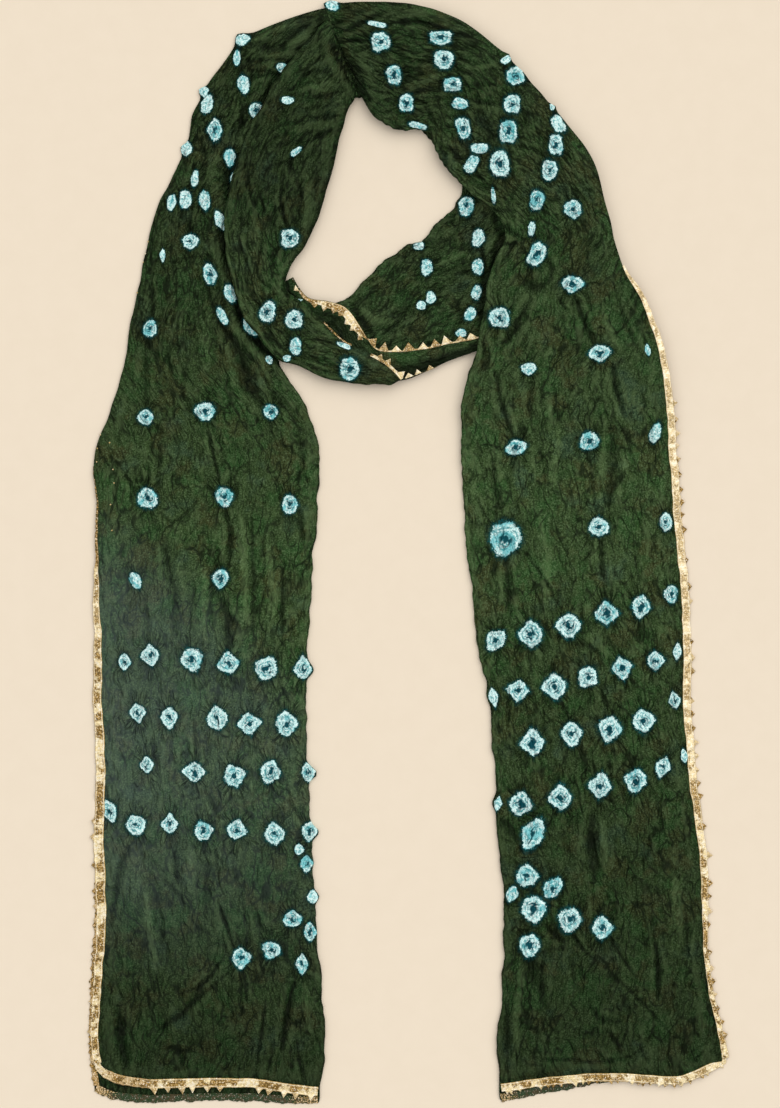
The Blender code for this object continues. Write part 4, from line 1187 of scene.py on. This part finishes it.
def dot_gathers(green, height, dot, near, rays):
    """Adds the fine creases that run out from the dots, in the bump, with painted shade along them and a
    painted highlight beside them.
    """
    tree = green.id_data
    parts = split(dot)
    ring = vector_calc("NORMALIZE", join(tree, parts[0], parts[1], 0.0))
    deep = join(tree, 0.0, 0.0, plus(times(near, 0.16), parts[2]))
    away = away_from(grain(vector_calc("ADD", ring, _1=deep), 3.0, 1, 0.5))
    strength = between(rays, 0.08, 0.75)
    green = blend(times(between(away, 0.045, 0.0), strength, 0.62), green, CREASE_SHADE_GREEN)
    green = blend(times(between(away, 0.10, 0.22, 0, 0.35), strength), green, (0.090, 0.140, 0.060))
    return green, plus(height, times(between(away, 0.0, 0.16, 0, 1.1), strength))


def tied_dots(green, place, dot, near, blue):
    """Adds the dots: a whitish patch with a dark middle in broken teal rings, and a thin halo."""
    marked = between(split(dot)[2], -0.5, 0.5)
    lumps = plus(centred(grain(place, 260, 2, 0.6), 0.55), centred(grain(place, 1000, 3, 0.7), 0.45))
    edge = plus(near, lumps)
    green = tint(
        green,
        (edge, 1.45, 1.10, 0.70, (0.002, 0.026, 0.026)),
        (edge, 1.18, 1.02, 0.80, (0.003, 0.085, 0.092)),
    )
    cloud = grain(dot, 1.4, 3, 0.65)
    bluer = plus(between(cloud, 0.38, 0.66), calc("SUBTRACT", blue, 0.40))
    speckle = between(grain(place, 1150, 2, 0.75), 0.42, 0.62)
    patch = blend(speckle, (0.42, 0.72, 0.71), (0.82, 0.95, 0.93))
    patch = tint(patch, (bluer, 0.35, 1.0, 0.85, (0.13, 0.49, 0.53)))

    # Broken rings that keep to the outline's shape, with small marks on them.
    shaken = plus(near, centred(cloud, 0.55))
    ring = away_from(calc("PINGPONG", shaken, 0.26), 0.13)
    ring = calc("MAXIMUM", ring, calc("SUBTRACT", shaken, 0.75))
    broken = times(between(grain(dot, 2.7, 3, 0.6), 0.43, 0.56), marked)
    patch = blend(times(between(ring, 0.09, 0.03), broken, 0.80), patch, (0.015, 0.20, 0.23))
    mark = between(grain(place, 560, 2, 0.65), 0.51, 0.59)
    patch = blend(times(mark, between(near, 0.98, 0.7, 0, 0.75)), patch, (0.03, 0.25, 0.27))

    # The tied middle, and the strokes that run out from it.
    bent = away_from(grain(dot, 1.15, 1, 0.5))
    stroke = times(between(bent, 0.065, 0.025), between(shaken, 0.66, 0.38))
    stroke = calc("MAXIMUM", stroke, between(shaken, 0.33, 0.20))
    patch = blend(times(stroke, marked), patch, (0.003, 0.055, 0.072))
    return blend(between(edge, 1.03, 0.96), green, patch)


def silk():
    """Crushed dark green silk with tie-dyed dots."""
    made, tree, shader = new_material("bandhani_silk")
    cloth, dot = held_at_points(tree, "cloth"), held_at_points(tree, "dot")
    near, crease_shading, blue = split(held_at_points(tree, "tone"))
    shade, haze, rays = split(held_at_points(tree, "light"))
    place = put(tree, "TexCoord")["Object"]

    green, height, streak = crushed_green(cloth, place)
    green, height = dot_gathers(green, height, dot, near, rays)
    # Painted shade in the hollows and a painted highlight on the ridges.
    green = tint(
        green,
        (crease_shading, -0.12, -0.90, 0.60, CREASE_SHADE_GREEN),
        (crease_shading, 0.10, 0.60, 0.40, (0.082, 0.128, 0.052)),
    )
    # A painted sheen: a grey-blue haze of light laid over the green.
    green = blend(times(haze, 0.26), green, (0.115, 0.160, 0.165))
    # Darker or lighter along each stretch, with the creases' painted shade and highlight in it.
    grey = put(tree, "CombineColor", _0=shade, _1=shade, _2=shade)[0]
    green = blend(1.0, green, grey, "MULTIPLY")
    feed(
        shader,
        Base_Color=tied_dots(green, place, dot, near, blue),
        Roughness=between(streak, 0.3, 0.7, 0.40, 0.55),
        Specular_IOR_Level=0.05,
        Specular_Tint=(0.85, 1.0, 0.75, 1),
        Sheen_Weight=0.01,
        Sheen_Roughness=0.4,
        Sheen_Tint=(0.62, 0.86, 0.50, 1),
        Normal=put(tree, "Bump", Strength=1.0, Distance=0.0019, Height=height)[0],
    )
    return made


def gota():
    """Metallic gota ribbon: cream, specked with brown in patches, and in places worn to its ground, with
    painted highlights and glints.
    """
    made, tree, shader = new_material("gota_gold")
    held = held_at_points(tree, "gota")
    _, share, wear = split(held)
    place = put(tree, "TexCoord")["Object"]
    patch = grain(held, 0.9, 2, 0.6, (1, 0.5, 0.2))
    mid = grain(place, 400, 3, 0.65)
    fleck = grain(place, 880, 2, 0.75)
    off = away_from(share)  # 0 along the middle of the tape and 0.5 at its edges

    colour = blend(between(mid, 0.42, 0.56), (0.50, 0.32, 0.085), PALE_GOLD)
    colour = tint(
        colour,
        (wear, 0.15, -0.35, 1.0, (0.90, 0.75, 0.46)),
        (wear, 0.10, 0.55, 0.75, (0.46, 0.28, 0.11)),
    )
    # Brown patches, clumps and specks between the cords, fewer where the tape is bright.
    middle = times(between(off, 0.43, 0.28, 0.45, 1.0), between(wear, -0.3, 0.05, 0.45, 1.0))
    clump = times(between(patch, 0.44, 0.52), between(mid, 0.52, 0.57, 0, 0.85))
    speck = times(between(patch, 0.42, 0.50, 0.3, 1.0), between(fleck, 0.47, 0.53))
    for amount, brown in (
        (between(patch, 0.45, 0.53, 0, 0.8), (0.50, 0.30, 0.070)),
        (clump, (0.085, 0.048, 0.007)),
        (speck, (0.14, 0.078, 0.012)),
    ):
        colour = blend(times(amount, middle), colour, brown)
    bare = plus(wear, centred(fleck, 1.7))
    ground = blend(between(mid, 0.46, 0.60), (0.012, 0.034, 0.005), (0.050, 0.036, 0.010))
    rim = times(between(off, 0.43, 0.48), between(wear, 0.45, 0.2, 0, 0.75))
    # The bright patches, the bright line along each cord and the small glints are painted highlights on
    # the metal.
    bright = times(between(patch, 0.50, 0.42), between(mid, 0.50, 0.44, 0, 0.65), between(wear, 0.5, 0.1))
    cord_highlight = times(between(away_from(off, 0.38), 0.06, 0.02), between(wear, 0.5, 0.1, 0, 0.5))
    painted_glint = times(between(fleck, 0.40, 0.34), between(wear, 1.0, 0.4, 0.35, 0.8))
    for amount, over in (
        (between(bare, 0.58, 0.74), ground),
        (rim, (0.48, 0.31, 0.085)),
        (bright, HIGHLIGHT_GOLD),
        (times(cord_highlight, between(mid, 0.60, 0.46, 0.15, 1.0)), (1.0, 0.93, 0.76)),
        (painted_glint, (1.0, 0.95, 0.84)),
    ):
        colour = blend(amount, colour, over)
    feed(
        shader,
        Base_Color=colour,
        Metallic=between(wear, 0.75, 0.35, 0.0, 0.15),
        Specular_IOR_Level=0.25,
        Roughness=between(mid, 0.3, 0.7, 0.30, 0.5),
        Normal=put(tree, "Bump", Strength=0.6, Distance=0.0007, Height=plus(mid, fleck))[0],
    )
    return made


def floor_material():
    made, tree, shader = new_material("studio_paper")
    fibre = between(grain(put(tree, "TexCoord")["Object"], 60, 3, 0.6), 0.3, 0.7)
    paper = blend(fibre, FLOOR_COLOUR, FLOOR_COLOUR_LIGHT)
    feed(shader, Base_Color=paper, Roughness=0.95, Specular_IOR_Level=0.1)
    return made


# ---- Studio ----------------------------------------------


def sun(name, azimuth, elevation, strength, spread, colour):
    """A soft distant lamp; azimuth 0 is from +X and 90 from +Y."""
    data = bpy.data.lights.new(name, "SUN")
    data.energy, data.angle, data.color = strength, math.radians(spread), colour
    lamp = link(bpy.data.objects.new(name, data))
    lamp.rotation_euler = (0, math.radians(90 - elevation), math.radians(azimuth))


def studio():
    scene = bpy.context.scene
    scene.view_settings.view_transform = "Standard"
    scene.world = scene.world or bpy.data.worlds.new("studio")
    scene.world.use_nodes = True
    background = scene.world.node_tree.nodes["Background"]
    feed(background, Color=(1.0, 0.985, 0.96, 1), Strength=0.55)
    sun("key", 48, 58, 1.9, 70, (1.0, 0.98, 0.95))
    sun("fill", 200, 60, 0.45, 60, (0.96, 0.98, 1.0))

    corners = [(x * FLOOR_HALF, y * FLOOR_HALF, 0) for x, y in ((-1, -1), (1, -1), (1, 1), (-1, 1))]
    data = bpy.data.meshes.new("floor")
    data.from_pydata(corners, [], [(0, 1, 2, 3)])
    data.materials.append(floor_material())
    link(bpy.data.objects.new("floor", data))

    lens = bpy.data.cameras.new("camera")
    lens.sensor_fit, lens.sensor_height = "VERTICAL", 36
    lens.lens = 36 * CAMERA_DISTANCE / VIEW_HEIGHT
    lens.clip_end = 50
    camera = link(bpy.data.objects.new("camera", lens))
    x, y = np.array(board(*VIEW_CENTRE_PX)) + SHIFT
    camera.location = (x * MM, y * MM, CAMERA_DISTANCE)
    scene.camera = camera


# ---- The stole -------------------------------------------


def side_line(points, step=3):
    """A sheet's open edge, and the line a few columns into the cloth."""
    return points[:, 0], points[:, step]


def back_side_line(points):
    return points[:, -1], points[:, -2]


def hem_line(points, front, step=3):
    """The hem, led in from the side by CORNER_LEAD points so that its tape turns the corner."""
    lead = slice(CORNER_LEAD, 0, -1)
    edge = np.concatenate([points[lead, 0], points[0, :front]])
    return edge, np.concatenate([points[lead, step], points[step, :front]])


def back_hem_line(points, front, step=3):
    behind = slice(None, front + FOLD_COLUMNS - 1, -1)
    return points[0, behind], points[step, behind]


def stole():
    """The four stretches of silk, the ply at the chin, and the tapes along their edges."""
    green, gold = silk(), gota()
    grids = {cloth.name: make_cloth(cloth, green) for cloth in CLOTHS}
    chin = make_chin(green)
    (left, left_front), (right, right_front) = grids["silk_left"], grids["silk_right"]
    fringe = np.array([(*board(*pixel), FRINGE_Z) for pixel in FRINGE_PX])
    lines = {
        "left_side": side_line(left),
        "left_hem": hem_line(left, left_front),
        "left_back_hem": back_hem_line(left, left_front),
        "left_back_side": back_side_line(left),
        "right_side": side_line(right),
        "right_hem": hem_line(right, right_front),
        "right_back_hem": back_hem_line(right, right_front),
        "chin": side_line(chin, 5),
        "band": side_line(grids["silk_band"][0]),
        "fringe": (fringe, fringe + (0, 3, 0.3)),
    }
    for tape in TAPES:
        make_tape(tape, *lines[tape.edge], gold)
    glints(gold, left)


stole()
studio()
